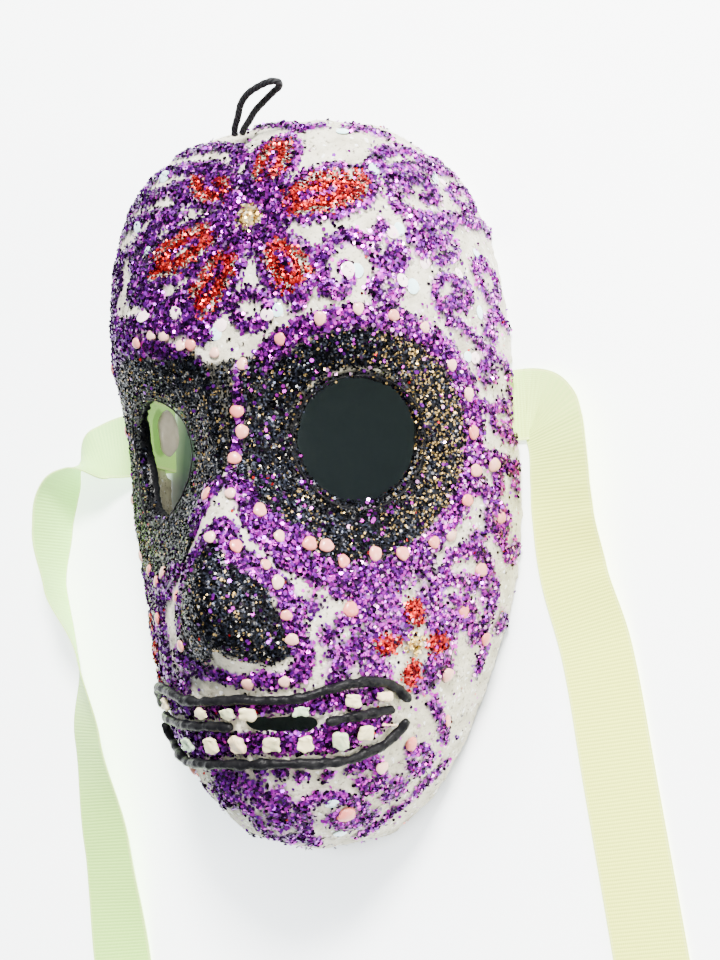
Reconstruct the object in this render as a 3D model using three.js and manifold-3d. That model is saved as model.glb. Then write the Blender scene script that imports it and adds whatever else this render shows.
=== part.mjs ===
// A papier-mache sugar-skull mask, lying on its back: a moulded paper shell with relief
// decoration glued on, a hanging loop at the crown and two ribbon ties.
// Millimetres. +Z points out of the face, +Y to the crown, +X to the right of the face seen
// from the front. The mask stands on its back rim at z = 0.
import * as THREE from 'three';
import { mergeVertices } from 'three/addons/utils/BufferGeometryUtils.js';
import Module from 'manifold-3d';

const wasm = await Module();
wasm.setup();

// ---------------------------------------------------------------- driving dimensions
const MASK = {
  halfWidth: 63.4, // middle line to the widest point of the rim
  crown: 110.7, // from the widest level up to the crown
  chin: 112.4, // from the widest level down to the chin
  widestY: 2, // level where the crown half meets the jaw half
  depth: 70.7, // rim plane to the middle of the face
  wall: 3.4, // thickness of the paper
};
// Exponents of the rounded outline and of the dome over it (2 is an ellipse, more is squarer).
const OUTLINE_POWER = { crown: 3.4, jaw: 1.55, chinRound: 0.6 };
const DOME_POWER = { crown: 4.0, upperSide: 2.3, lowerSide: 1.55, chin: 2.9 };
const NOSE = { height: 17, tipY: -43, rootY: 14, halfWidth: 13 };
const EYE = { x: 29.9, y: 9.8, radius: 17.1, turnOut: 31, turnDown: 19, socket: 14.4 };
const PATCH_RADIUS = 32; // black glitter round each eye
const BAND_RADIUS = 38.5; // purple band round each black patch
// Lines of the mouth on the right half, as x and y; the left half mirrors them.
const MOUTH = {
  upper: [[0, -62.6], [10, -63], [18, -62.8], [23, -61], [29, -59.5], [34.5, -58.6], [38, -61.6], [39.2, -65.6]],
  middle: [[0, -70.2], [21, -69.6], [30, -68], [36, -66.8], [39.2, -66.6]],
  lower: [[0, -80.4], [15, -80.6], [25, -80.4], [32, -76.8], [36, -73], [38.6, -69.4]],
};
const SLIT = { x: 9.5, y: -70.1, length: 21, height: 2.8 };
// Places across the mouth.
const TEETH = { upper: [-29, -11.8, -3.4, 3.2, 16.9, 28.4, 34.2], lower: [-20.3, -10.3, -2.1, 8, 16.2, 24.1, 29.6, 34.2] };
const TOOTH = { width: 4.8, height: 5, thick: 1.4 };
const RELIEF = { gap: 0.4, thick: 1.2 }; // the glued layer over the paper
const BEAD = { gap: 0.9, radius: 0.9 }; // raised lines of dried paint
const RIBBON = { width: 22, thick: 0.6, y: 22.5, passage: 3.6, side: 1.6, lift: 1.3 };
const CLEAR_OF_TABLE = 0.3;
const CORD = { radius: 1, hole: 5.4, gap: 1.3 };

const PAPER = { color: '#e9e4d6', roughness: 0.85 };
const BLACK_GLITTER = { color: '#23252d', roughness: 0.45 };
const BLACK_PAINT = { color: '#101013', roughness: 0.25 };
const PURPLE_GLITTER = { color: '#6d2a93', roughness: 0.35 };
const RED_GLITTER = { color: '#cf3f34', roughness: 0.45 };
const GOLD_GLITTER = { color: '#dcbf6c', roughness: 0.35 };
const GEM = { color: '#f0e3c4', roughness: 0.3 };
const RIBBON_CLOTH = { color: '#dff0b8', roughness: 0.8 };
const CORD_BRAID = { color: '#15161a', roughness: 0.7 };
const GLUE = { color: '#f1efe6', roughness: 0.3 };

const group = new THREE.Group();

function add(name, geometry, finish) {
  const material = new THREE.MeshStandardMaterial({ ...finish, metalness: 0 });
  const mesh = new THREE.Mesh(geometry, material);
  mesh.name = name;
  group.add(mesh);
  return mesh;
}

// ---------------------------------------------------------------- the face as a formula
const V = (x, y, z) => new THREE.Vector3(x, y, z);
const bump = (x, y, cx, cy, rx, ry) => Math.exp(-(((x - cx) / rx) ** 2) - ((y - cy) / ry) ** 2);

function outlineRadius(angle) {
  const up = Math.sin(angle);
  const reach = up >= 0 ? MASK.crown : MASK.chin;
  const mix = 0.5 + 0.5 * up;
  const rounded = up < 0 ? OUTLINE_POWER.chinRound * up ** 8 : 0;
  const power = OUTLINE_POWER.jaw + (OUTLINE_POWER.crown - OUTLINE_POWER.jaw) * mix + rounded;
  const across = Math.abs(Math.cos(angle)) / MASK.halfWidth;
  return (across ** power + (Math.abs(up) / reach) ** power) ** (-1 / power);
}

function domePower(up) {
  const side = DOME_POWER.lowerSide + (DOME_POWER.upperSide - DOME_POWER.lowerSide) * (0.5 + 0.5 * up);
  const end = up >= 0 ? DOME_POWER.crown : DOME_POWER.chin;
  return side + (end - side) * up ** 4;
}

// Nose, sockets, brow, cheeks, muzzle and chin, added to the plain dome.
function features(x, y) {
  const far = Math.abs(x);
  const along = Math.min(Math.max((NOSE.rootY - y) / (NOSE.rootY - NOSE.tipY), 0), 1.1);
  const rise = THREE.MathUtils.smoothstep(along, 0, 1);
  const fall = 1 / (1 + Math.exp(-(y - (NOSE.tipY - 9)) / 2.6));
  const wide = NOSE.halfWidth * (0.62 + 0.45 * along);
  const nose = NOSE.height * rise * fall * Math.exp(-((far / wide) ** 2));
  const socket = -EYE.socket * bump(far, y, EYE.x, EYE.y, 21, 20);
  const brow = 3 * bump(far, y, 34, 42, 22, 11);
  const muzzle = 1.3 * bump(far, y, 0, -66, 30, 20);
  const chin = 6 * bump(far, y, 0, -100, 24, 14);
  const cheek = -4 * bump(far, y, 48, -24, 15, 16);
  return nose + socket + brow + muzzle + chin + cheek;
}

// t runs from 0 in the middle of the face to 1 at the rim; inset moves the skin inward.
function skinPoint(t, angle, inset = 0) {
  const radius = outlineRadius(angle) - inset;
  const power = domePower(Math.sin(angle));
  const turn = (Math.min(t, 1) * Math.PI) / 2;
  const out = Math.sin(turn) ** (2 / power);
  const up = Math.max(Math.cos(turn), 1e-9) ** (2 / power);
  const x = radius * Math.cos(angle) * out;
  const y = MASK.widestY + radius * Math.sin(angle) * out;
  return V(x, y, (MASK.depth - inset) * up + features(x, y) * Math.min(up * 1.6, 1));
}

function skinNormal(t, angle, inset = 0) {
  const s = Math.min(Math.max(t, 0.02), 0.985);
  const alongT = skinPoint(s + 0.01, angle, inset).sub(skinPoint(s - 0.01, angle, inset));
  const alongA = skinPoint(s, angle + 0.01, inset).sub(skinPoint(s, angle - 0.01, inset));
  return alongT.cross(alongA).normalize();
}

function paramsAt(x, y) {
  const angle = Math.atan2(y - MASK.widestY, x);
  const share = Math.min(Math.hypot(x, y - MASK.widestY) / outlineRadius(angle), 1);
  return [(Math.asin(share ** (domePower(Math.sin(angle)) / 2)) * 2) / Math.PI, angle, share];
}

function skinHeight(x, y) {
  const [t, angle, share] = paramsAt(x, y);
  return share < 1 ? skinPoint(t, angle).z : -1e3 * (Math.hypot(x, y) / 100);
}

function bisect(test, low, high) {
  let [a, b] = [low, high];
  for (let i = 0; i < 40; i += 1) {
    const mid = (a + b) / 2;
    if (test(mid)) a = mid;
    else b = mid;
  }
  return (a + b) / 2;
}

// Where the ray from deep in the head at level y, turned `degrees` to the side, meets the skin.
function around(y, degrees) {
  const turn = THREE.MathUtils.degToRad(degrees);
  const at = (r) => V(r * Math.sin(turn), y, r * Math.cos(turn));
  return at(bisect((r) => at(r).z < skinHeight(at(r).x, y), 0, 140));
}

const onSkin = (x, y) => V(x, y, skinHeight(x, y));

// A flat frame touching the skin: z is its normal, y points as near to the crown as it can.
function frameAt(point, normal = null) {
  const [t, angle] = paramsAt(point.x, point.y);
  const out = normal ?? skinNormal(t, angle);
  const right = V(0, 1, 0).cross(out).normalize();
  return { point, out, right, up: out.clone().cross(right) };
}

// A point (u, v) of the flat frame, carried along the frame's normal onto the skin.
function carry(frame, u, v, lift = 0) {
  const start = frame.point.clone().addScaledVector(frame.right, u).addScaledVector(frame.up, v);
  const at = (s) => start.clone().addScaledVector(frame.out, s);
  const found = at(bisect((s) => at(s).z < skinHeight(at(s).x, at(s).y), -30, 30));
  const [t, angle] = paramsAt(found.x, found.y);
  return found.addScaledVector(skinNormal(t, angle), lift);
}

// ---------------------------------------------------------------- solids from geometries
function toManifold(geometry) {
  const bare = new THREE.BufferGeometry();
  bare.setAttribute('position', geometry.attributes.position.clone());
  const count = geometry.attributes.position.count;
  bare.setIndex(geometry.index ? [...geometry.index.array] : [...Array(count).keys()]);
  const welded = mergeVertices(bare, 1e-4);
  const index = welded.index.array;
  const kept = [];
  for (let i = 0; i < index.length; i += 3) {
    const [a, b, c] = [index[i], index[i + 1], index[i + 2]];
    if (a !== b && b !== c && c !== a) kept.push(a, b, c);
  }
  const vertProperties = new Float32Array(welded.attributes.position.array);
  const mesh = new wasm.Mesh({ numProp: 3, vertProperties, triVerts: new Uint32Array(kept) });
  return new wasm.Manifold(mesh);
}

function toGeometry(manifold) {
  const mesh = manifold.getMesh();
  const geometry = new THREE.BufferGeometry();
  geometry.setAttribute('position', new THREE.BufferAttribute(mesh.vertProperties, 3));
  geometry.setIndex(new THREE.BufferAttribute(mesh.triVerts, 1));
  geometry.computeVertexNormals();
  return geometry;
}

// A ball whose upper half is moved to `upper` and whose lower half is moved to `lower`.
function ballMoved(sectors, rings, upper, lower) {
  const ball = new THREE.SphereGeometry(1, sectors, rings * 2);
  const place = ball.attributes.position;
  for (let i = 0; i < place.count; i += 1) {
    const [x, y, z] = [place.getX(i), place.getY(i), place.getZ(i)];
    const t = Math.acos(THREE.MathUtils.clamp(y, -1, 1)) / (Math.PI / 2);
    const angle = Math.atan2(-z, x);
    const moved = t <= 1.0001 ? upper(Math.min(t, 1), angle) : lower(2 - t, angle);
    place.setXYZ(i, moved.x, moved.y, moved.z);
  }
  return ball;
}

const SECTORS = 40;
const RINGS = 15;

// The skin moved inward by `inset` and outward by `lift`, closed by a flat floor.
function domeSolid(sectors, rings, inset, lift, floorZ) {
  const top = (t, angle) => {
    const normal = t < 0.001 ? V(0, 0, 1) : skinNormal(t, angle, inset);
    const point = skinPoint(t, angle, inset).addScaledVector(normal, lift);
    point.z = t > 0.9999 ? floorZ : Math.max(point.z, floorZ);
    return point;
  };
  const floor = (t, angle) => {
    const edge = top(1, angle);
    return V(edge.x * t, MASK.widestY + (edge.y - MASK.widestY) * t, floorZ);
  };
  return toManifold(ballMoved(sectors, rings, top, floor));
}

// The layer in which every glued-on patch lies, parallel to the facets of the shell.
function layerSolid(low, high) {
  return domeSolid(SECTORS, RINGS, 0, high, 0.5).subtract(domeSolid(SECTORS, RINGS, 0, low, 0));
}

function placed(geometry, frame) {
  const matrix = new THREE.Matrix4().makeBasis(frame.right, frame.up, frame.out);
  geometry.applyMatrix4(matrix.setPosition(frame.point));
  return geometry;
}

// A prism of a flat outline, standing through the skin along the frame's normal.
function prism(shape, frame, reach = 20, curveSegments = 12) {
  const settings = { depth: 2 * reach, bevelEnabled: false, curveSegments };
  const geometry = new THREE.ExtrudeGeometry(shape, settings).translate(0, 0, -reach);
  return toManifold(placed(geometry, frame));
}

function blockSolid(width, depth, height, x, y, z) {
  return toManifold(new THREE.BoxGeometry(width, depth, height).translate(x, y, z));
}

const layer = layerSolid(RELIEF.gap, RELIEF.gap + RELIEF.thick);

const overGlitter = 2 * RELIEF.gap + RELIEF.thick;
const toothLayer = layerSolid(overGlitter, overGlitter + TOOTH.thick);

function patch(name, stamp, finish) {
  add(name, toGeometry(layer.intersect(stamp)), finish);
}

// A raised line of round section through points of the skin.
function bead(name, points, radius, finish, steps, sides = 6) {
  const path = new THREE.CatmullRomCurve3(points);
  const circle = new THREE.Shape();
  for (let i = 0; i < sides; i += 1) {
    const turn = (2 * Math.PI * i) / sides;
    if (i === 0) circle.moveTo(radius, 0);
    else circle.lineTo(radius * Math.cos(turn), radius * Math.sin(turn));
  }
  const settings = { steps, extrudePath: path, bevelEnabled: false };
  add(name, new THREE.ExtrudeGeometry(circle, settings), finish);
}

// ---------------------------------------------------------------- the paper shell
const rightEye = eyeFrame(1);
const leftEye = eyeFrame(-1);

function eyeFrame(side) {
  const out = THREE.MathUtils.degToRad(EYE.turnOut) * side;
  const down = -THREE.MathUtils.degToRad(EYE.turnDown);
  const normal = V(Math.sin(out) * Math.cos(down), Math.sin(down), Math.cos(out) * Math.cos(down));
  return frameAt(onSkin(EYE.x * side, EYE.y), normal);
}

function circleShape(radius) {
  return new THREE.Shape().absarc(0, 0, radius, 0, Math.PI * 2, false);
}

function ringShape(outer, inner) {
  const ring = circleShape(outer);
  ring.holes.push(new THREE.Path().absarc(0, 0, inner, 0, Math.PI * 2, true));
  return ring;
}

function slotShape(length, height) {
  const slot = new THREE.Shape();
  const half = (length - height) / 2;
  slot.absarc(half, 0, height / 2, -Math.PI / 2, Math.PI / 2, false);
  slot.absarc(-half, 0, height / 2, Math.PI / 2, (3 * Math.PI) / 2, false);
  return slot;
}

const CROWN_HOLE = { x: -2.4, below: 10.6 }; // below the top of the outline
const crownHole = frameAt(onSkin(CROWN_HOLE.x, MASK.widestY + MASK.crown - CROWN_HOLE.below));
const slitFrame = frameAt(onSkin(SLIT.x, SLIT.y), V(0, 0, 1));

function makeShell() {
  const outer = domeSolid(SECTORS, RINGS, 0, 0, 0);
  const inner = domeSolid(32, 11, MASK.wall, 0, -1);
  let shell = outer.subtract(inner);
  for (const eye of [rightEye, leftEye]) {
    shell = shell.subtract(prism(circleShape(EYE.radius), eye, 20, 16));
  }
  shell = shell.subtract(prism(slotShape(SLIT.length, SLIT.height), slitFrame, 20, 6));
  shell = shell.subtract(prism(circleShape(CORD.hole / 2), crownHole, 12, 8));
  for (const side of [1, -1]) {
    const width = RIBBON.width + 2 * RIBBON.side;
    const x = side * (MASK.halfWidth - 6);
    shell = shell.subtract(blockSolid(20, width, 2 * RIBBON.passage, x, RIBBON.y, 0));
  }
  add('mask_shell', toGeometry(shell), PAPER);
}

// ---------------------------------------------------------------- eyes and nose
const MIDDLE_GAP = 0.3;
const BRIDGE = 2.4; // half width of the purple column between the black patches

function halfSpace(side, from) {
  return blockSolid(120, 300, 300, side * (60 + from), 0, 40);
}

function makeEye(side, frame, name) {
  const rimRadius = EYE.radius + BEAD.gap + BEAD.radius + 0.3;
  const inner = rimRadius + BEAD.radius + 0.5;
  const band = prism(ringShape(BAND_RADIUS, PATCH_RADIUS + 0.3), frame, 34, 14);
  const black = prism(ringShape(PATCH_RADIUS, inner), frame, 30, 14);
  const column = prism(ringShape(PATCH_RADIUS, inner), frame, 30, 14);
  const bridge = column.intersect(halfSpace(side, MIDDLE_GAP)).subtract(halfSpace(side, BRIDGE));
  patch(`${name}_eye_patch`, black.intersect(halfSpace(side, BRIDGE + 0.3)), BLACK_GLITTER);
  patch(`${name}_eye_band`, band.intersect(halfSpace(side, MIDDLE_GAP)).add(bridge), PURPLE_GLITTER);
  const points = [];
  for (let i = 0; i <= 24; i += 1) {
    const turn = -Math.PI / 2 + (2 * Math.PI - 0.05) * (i / 24);
    points.push(carry(frame, rimRadius * Math.cos(turn), rimRadius * Math.sin(turn), BEAD.gap + BEAD.radius));
  }
  bead(`${name}_eye_rim`, points, BEAD.radius, BLACK_PAINT, 28);
}

function makeNose() {
  const spade = new THREE.Shape();
  spade.moveTo(0, -19);
  spade.bezierCurveTo(7, -24, 13, -31, 15, -38);
  spade.bezierCurveTo(20, -47, 19, -54, 11, -54);
  spade.quadraticCurveTo(5, -53, 0, -50);
  spade.quadraticCurveTo(-5, -53, -11, -54);
  spade.bezierCurveTo(-19, -54, -20, -47, -15, -38);
  spade.bezierCurveTo(-13, -31, -7, -24, 0, -19);
  patch('nose_patch', prism(spade, upright(0, 0), 60, 5), BLACK_GLITTER);
}

// ---------------------------------------------------------------- mouth
// A frame that looks straight down on the face, whose u and v are x and y.
function upright(x, y) {
  return frameAt(V(x, y, MASK.depth), V(0, 0, 1));
}

// Level of one line of the mouth at x.
function mouthLevel(x, line) {
  const out = Math.abs(x);
  const last = line.length - 2;
  let i = 0;
  while (i < last && out > line[i + 1][0]) i += 1;
  const [[x0, y0], [x1, y1]] = [line[i], line[i + 1]];
  return y0 + ((y1 - y0) * (out - x0)) / (x1 - x0);
}

function mouthLine(name, line, from, to, steps) {
  const points = [];
  for (let i = 0; i <= steps; i += 1) {
    const x = from + ((to - from) * i) / steps;
    points.push(carry(upright(0, 0), x, mouthLevel(x, line), BEAD.gap + BEAD.radius));
  }
  bead(name, points, BEAD.radius, BLACK_PAINT, Math.round(1.3 * steps));
}

// The strip between two lines of the mouth, clear of both painted lines.
function lipShape(high, low, reach) {
  const clear = BEAD.radius + 1.2;
  const shape = new THREE.Shape();
  const count = 14;
  for (let i = 0; i <= count; i += 1) {
    const x = -reach + (2 * reach * i) / count;
    const y = mouthLevel(x, high) - clear;
    if (i === 0) shape.moveTo(x, y);
    else shape.lineTo(x, y);
  }
  for (let i = count; i >= 0; i -= 1) {
    const x = -reach + (2 * reach * i) / count;
    shape.lineTo(x, mouthLevel(x, low) + clear);
  }
  return shape;
}

function toothFrame(x, high, low) {
  const y = (mouthLevel(x, high) + mouthLevel(x, low)) / 2;
  return frameAt(onSkin(x, y));
}

function toothShape(width, height) {
  const [w, h] = [width / 2, height / 2];
  const shape = new THREE.Shape();
  shape.moveTo(-w, -0.6 * h);
  shape.quadraticCurveTo(0, -1.2 * h, w, -0.6 * h);
  shape.lineTo(0.85 * w, 0.8 * h);
  shape.quadraticCurveTo(0, 1.2 * h, -0.85 * w, 0.8 * h);
  return shape;
}

function makeTeeth(row, high, low) {
  const band = prism(lipShape(high, low, 35.4), upright(0, 0), 60, 4);
  patch(`${row}_teeth_band`, band.subtract(slitClearance), PURPLE_GLITTER);
  TEETH[row].forEach((x, i) => {
    const ends = [x - TOOTH.width / 2, x + TOOTH.width / 2];
    const top = Math.min(...ends.map((end) => mouthLevel(end, high)));
    const bottom = Math.max(...ends.map((end) => mouthLevel(end, low)));
    const room = top - bottom - 2 * (BEAD.radius + 0.9);
    const shape = toothShape(TOOTH.width, Math.min(TOOTH.height, room));
    const stamp = prism(shape, toothFrame(x, high, low), 12, 3);
    add(`${row}_tooth_${i + 1}`, toGeometry(toothLayer.intersect(stamp)), GEM);
  });
}

const slitClearance = prism(slotShape(SLIT.length + 1.6, SLIT.height + 1.6), slitFrame, 20, 6);

function makeMouth() {
  const [slitLeft, slitRight] = [SLIT.x - SLIT.length / 2, SLIT.x + SLIT.length / 2];
  mouthLine('mouth_upper_line', MOUTH.upper, -38.8, 38.8, 24);
  mouthLine('mouth_lower_line', MOUTH.lower, -38, 38, 22);
  mouthLine('mouth_left_parting', MOUTH.middle, -34.5, slitLeft - 2, 8);
  mouthLine('mouth_right_parting', MOUTH.middle, slitRight + 2, 35.5, 6);
  makeTeeth('upper', MOUTH.upper, MOUTH.middle);
  makeTeeth('lower', MOUTH.middle, MOUTH.lower);
}

// ---------------------------------------------------------------- flowers
function petalShape(length, width) {
  const shape = new THREE.Shape();
  shape.moveTo(0, -length / 2);
  shape.bezierCurveTo(0.62 * width, -0.2 * length, 0.55 * width, 0.28 * length, 0, length / 2);
  shape.bezierCurveTo(-0.55 * width, 0.28 * length, -0.62 * width, -0.2 * length, 0, -length / 2);
  return shape;
}

// A petal from its base to its tip, both on the skin.
function petalStamp(base, tip, width) {
  const middle = base.clone().lerp(tip, 0.5);
  const frame = frameAt(onSkin(middle.x, middle.y));
  const along = tip.clone().sub(base);
  along.addScaledVector(frame.out, -along.dot(frame.out)).normalize();
  frame.up = along;
  frame.right = along.clone().cross(frame.out);
  return prism(petalShape(base.distanceTo(tip), width), frame, 12, 6);
}

// Base and tip of each forehead petal, and its width.
// Drawn for a forehead that rises this far over the brow; on another one it is drawn to scale.
const FOREHEAD_FLOWER = { x: 7.5, y: 73, centre: 4, drawnFor: 68.9 };
const BROW = EYE.y + 34;
const FOREHEAD_PETALS = [
  ['top', 9.2, 79, 14.5, 98.5, 9],
  ['upper_right', 14, 74.5, 41, 80.5, 10.5],
  ['lower_right', 12, 67, 26, 48, 9],
  ['lower_left', 4.4, 66.6, -10.5, 44, 9],
  ['left', 0.6, 71.8, -28, 60.5, 9.5],
  ['upper_left', 3.6, 78, -15.5, 91.5, 8.5],
];

function makeForeheadFlower() {
  const rise = MASK.widestY + MASK.crown - BROW;
  const scale = rise / FOREHEAD_FLOWER.drawnFor;
  const place = (x, y) => onSkin(x * scale, BROW + (y - BROW) * scale);
  for (const [name, x0, y0, x1, y1, width] of FOREHEAD_PETALS) {
    patch(`forehead_petal_${name}`, petalStamp(place(x0, y0), place(x1, y1), width * scale), RED_GLITTER);
  }
  const centre = frameAt(place(FOREHEAD_FLOWER.x, FOREHEAD_FLOWER.y));
  const disc = circleShape(FOREHEAD_FLOWER.centre * scale);
  patch('forehead_flower_centre', prism(disc, centre, 8, 6), GOLD_GLITTER);
}

// Level on the face and degrees round from its middle line.
const CHEEK_FLOWER = { y: -49.3, degrees: 46, centre: 3, petal: 9.8, width: 8.2, start: 3.8 };

function makeCheekFlower(side, name) {
  const frame = frameAt(around(CHEEK_FLOWER.y, CHEEK_FLOWER.degrees * side));
  ['top', 'outer', 'bottom', 'inner'].forEach((place, i) => {
    const turn = Math.PI / 2 - (side * i * Math.PI) / 2;
    const [u, v] = [Math.cos(turn), Math.sin(turn)];
    const base = carry(frame, CHEEK_FLOWER.start * u, CHEEK_FLOWER.start * v);
    const far = CHEEK_FLOWER.start + CHEEK_FLOWER.petal;
    const tip = carry(frame, far * u, far * v);
    patch(`${name}_cheek_petal_${place}`, petalStamp(base, tip, CHEEK_FLOWER.width), RED_GLITTER);
  });
  patch(`${name}_cheek_centre`, prism(circleShape(CHEEK_FLOWER.centre), frame, 8, 6), GOLD_GLITTER);
}

// ---------------------------------------------------------------- raised scrolls
// Each scroll turns round a spot of the skin, from one radius to another.
const SCROLLS = [
  ['right_temple_scroll', 66, 53, 3, 8.5, 1.4],
  ['right_brow_scroll', 48, 57, 3, 7.5, 1.3],
  ['left_temple_scroll', 66, -53, 3, 8.5, -1.4],
  ['left_brow_scroll', 48, -57, 3, 7.5, -1.3],
  ['chin_scroll', -97, 24, 3.4, 9, 1.3],
];
const SCROLL_BEAD = 1.3;

function makeScroll(name, y, degrees, from, to, turns) {
  const frame = frameAt(around(y, degrees));
  const count = Math.round(12 * Math.abs(turns));
  const points = [];
  for (let i = 0; i <= count; i += 1) {
    const radius = from + ((to - from) * i) / count;
    const turn = (2 * Math.PI * turns * i) / count;
    points.push(carry(frame, radius * Math.cos(turn), radius * Math.sin(turn), BEAD.gap + SCROLL_BEAD));
  }
  bead(name, points, SCROLL_BEAD, PURPLE_GLITTER, Math.round(1.4 * count));
}

// ---------------------------------------------------------------- ribbons
// A flat strip through stations: the middle of the strip, then the direction of its width.
function strip(stations, width, thick, segments) {
  const middles = new THREE.CatmullRomCurve3(stations.map(([x, y, z]) => V(x, y, z)), false, 'centripetal');
  const sides = stations.map(([, , , x, y, z]) => V(x, y, z).normalize());
  const box = new THREE.BoxGeometry(1, 1, 1, 1, 1, segments);
  const place = box.attributes.position;
  for (let i = 0; i < place.count; i += 1) {
    const t = THREE.MathUtils.clamp(place.getZ(i) + 0.5, 0, 1);
    const slot = Math.min(t * (sides.length - 1), sides.length - 1.0001);
    const [low, share] = [Math.floor(slot), slot % 1];
    const ease = share * share * (3 - 2 * share);
    const side = sides[low].clone().lerp(sides[low + 1], ease);
    const tangent = middles.getTangent(t);
    side.addScaledVector(tangent, -side.dot(tangent)).normalize();
    const face = tangent.clone().cross(side);
    const point = middles.getPoint(t);
    // The lower edge never goes under the table.
    const hangs = (Math.abs(side.z) * width + Math.abs(face.z) * thick) / 2;
    point.z = Math.max(point.z, hangs + CLEAR_OF_TABLE);
    point.addScaledVector(side, place.getX(i) * width).addScaledVector(face, place.getY(i) * thick);
    place.setXYZ(i, point.x, point.y, point.z);
  }
  return toGeometry(toManifold(box));
}

// Half width of the inside of the shell at level y and height z.
function insideHalfWidth(y, z) {
  return bisect((x) => skinHeight(x, y) > z, 20, MASK.halfWidth) - MASK.wall;
}

const FOLD_X = MASK.halfWidth + 2.2; // where each ribbon bends up when it is lifted

// The end of the ribbon, glued up the inside of the shell, and the blob that holds it.
function makeRibbonEnd(side, name) {
  const stations = [[FOLD_X - 1.2, RIBBON.lift]];
  stations.push([MASK.halfWidth - MASK.wall / 2, RIBBON.lift], [MASK.halfWidth - MASK.wall - 2.2, RIBBON.lift + 0.6]);
  for (const z of [6, 14, 24]) {
    stations.push([insideHalfWidth(RIBBON.y + RIBBON.width / 2, z) - 2.2, z]);
  }
  const path = stations.map(([x, z]) => [side * x, RIBBON.y, z, 0, 1, 0]);
  add(`${name}_ribbon_end`, strip(path, RIBBON.width, RIBBON.thick, 24), RIBBON_CLOTH);
  const blobX = insideHalfWidth(RIBBON.y, 16) - 6.4;
  const blob = new THREE.SphereGeometry(1, 12, 8).scale(2.2, 8, 6);
  add(`${name}_ribbon_glue`, blob.translate(side * blobX, RIBBON.y, 16), GLUE);
}

// Middle of the strip (out from the fold, level, height) and the direction of its width (out,
// along the face, up), from the mask to the free end.
const RIGHT_RIBBON = [
  [0, 22.5, 1.3, 0, 1, 0],
  [1, 22.5, 1.4, 0, 1, 0],
  [5.4, 21.4, 1.8, 0.42, 0.9, 0.12],
  [8.6, 18, 2.6, 0.74, 0.62, 0.25],
  [10, 13.5, 3.4, 0.86, 0.38, 0.34],
  [10.7, 8, 4, 0.9, 0.14, 0.4],
  [10.8, -2, 4, 0.93, 0, 0.37],
  [11, -12, 3.4, 0.95, -0.04, 0.31],
  [13, -30, 2, 0.985, -0.06, 0.15],
  [18.4, -53, 1, 0.994, -0.1, 0.03],
  [23.4, -92, 0.8, 0.992, -0.12, 0],
  [29.6, -141, 0.8, 0.992, -0.12, 0],
  [32.8, -166, 0.8, 0.992, -0.12, 0],
];
const LEFT_RIBBON = [
  [0, 22.5, 1.3, 0, 1, 0],
  [1.6, 22.5, 1.5, 0, 1, 0],
  [8.4, 22, 3.2, -0.06, 0.98, -0.12],
  [18.4, 20, 6.6, -0.22, 0.88, -0.42],
  [27.4, 14.5, 10, -0.3, 0.56, -0.77],
  [33.2, 6, 11.2, -0.16, 0.2, -0.97],
  [35.6, -6, 11.2, -0.04, 0.02, -1],
  [34.8, -26, 11, 0.26, 0, -0.965],
  [26.8, -50, 9.9, 0.55, 0, -0.835],
  [24.9, -77, 7.6, 0.83, 0, -0.56],
  [20.4, -112, 3.6, 0.97, -0.03, -0.24],
  [16.7, -149, 0.9, 0.996, -0.09, 0],
  [14.6, -166, 0.8, 0.996, -0.09, 0],
];
const ROLL = { inner: 5.2, pitch: 1.7, turns: 2.1 };

// The spare ribbon, rolled up loosely past the last station, resting on the table.
function rolled(stations) {
  const [x, y, z, wx, wy] = stations.at(-1);
  const ahead = V(x - stations.at(-2)[0], y - stations.at(-2)[1], 0).normalize();
  const outer = ROLL.inner + ROLL.pitch * ROLL.turns;
  const list = stations.map((station) => [...station]);
  const count = Math.round(14 * ROLL.turns);
  for (let i = 1; i <= count; i += 1) {
    const turn = (2 * Math.PI * ROLL.turns * i) / count;
    const radius = outer - (ROLL.pitch * turn) / (2 * Math.PI);
    const go = radius * Math.sin(turn) + 6;
    list.push([x + ahead.x * go, y + ahead.y * go, z + outer - radius * Math.cos(turn), wx, wy, 0]);
  }
  return list;
}

const ROUTE_WIDTH = 22; // the ribbon width that the routes were laid out for

function makeRibbon(side, name, route) {
  const spare = (RIBBON.width - ROUTE_WIDTH) / 2; // a wider ribbon turns further out from its fold
  const stations = route.map(([x, y, z, wx, wy, wz], i) => {
    const out = FOLD_X + x + (i > 1 ? spare : 0);
    return [side * out, y, z, side * wx, wy, wz];
  });
  add(`${name}_ribbon`, strip(rolled(stations), RIBBON.width, RIBBON.thick, 84), RIBBON_CLOTH);
}

// ---------------------------------------------------------------- hanging loop
function makeLoop() {
  const out = crownHole.out;
  const at = (u, v, w) => crownHole.point.clone()
    .addScaledVector(crownHole.right, u).addScaledVector(crownHole.up, v).addScaledVector(out, w);
  const foot = 1.25;
  const loop = [at(-foot, 0, 1.5), at(-0.3, 0, 3.7), at(1.9, 0, 6.7), at(4.4, 0.1, 10.4), at(7.6, 0, 12.9)];
  loop.push(at(11.6, -0.2, 14.4), at(15.2, -0.4, 15.2), at(17.3, -0.2, 15.1), at(18.3, 0.4, 14.1));
  loop.push(at(17.6, 1.1, 12.8), at(15.2, 1.5, 11.5), at(11, 1.5, 9.2), at(7.3, 1.1, 7), at(4.7, 0.5, 4.7));
  loop.push(at(2.5, 0.1, 2.9), at(foot, 0, 1.5));
  bead('hanging_loop', loop, CORD.radius, CORD_BRAID, 28, 8);
  const knot = new THREE.SphereGeometry(1, 12, 8).scale(4.2, 3.4, 3);
  const inside = crownHole.point.clone().addScaledVector(out, -(3 + MASK.wall + 3.8));
  add('loop_knot', placed(knot, { ...crownHole, point: inside }), CORD_BRAID);
}

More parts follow.
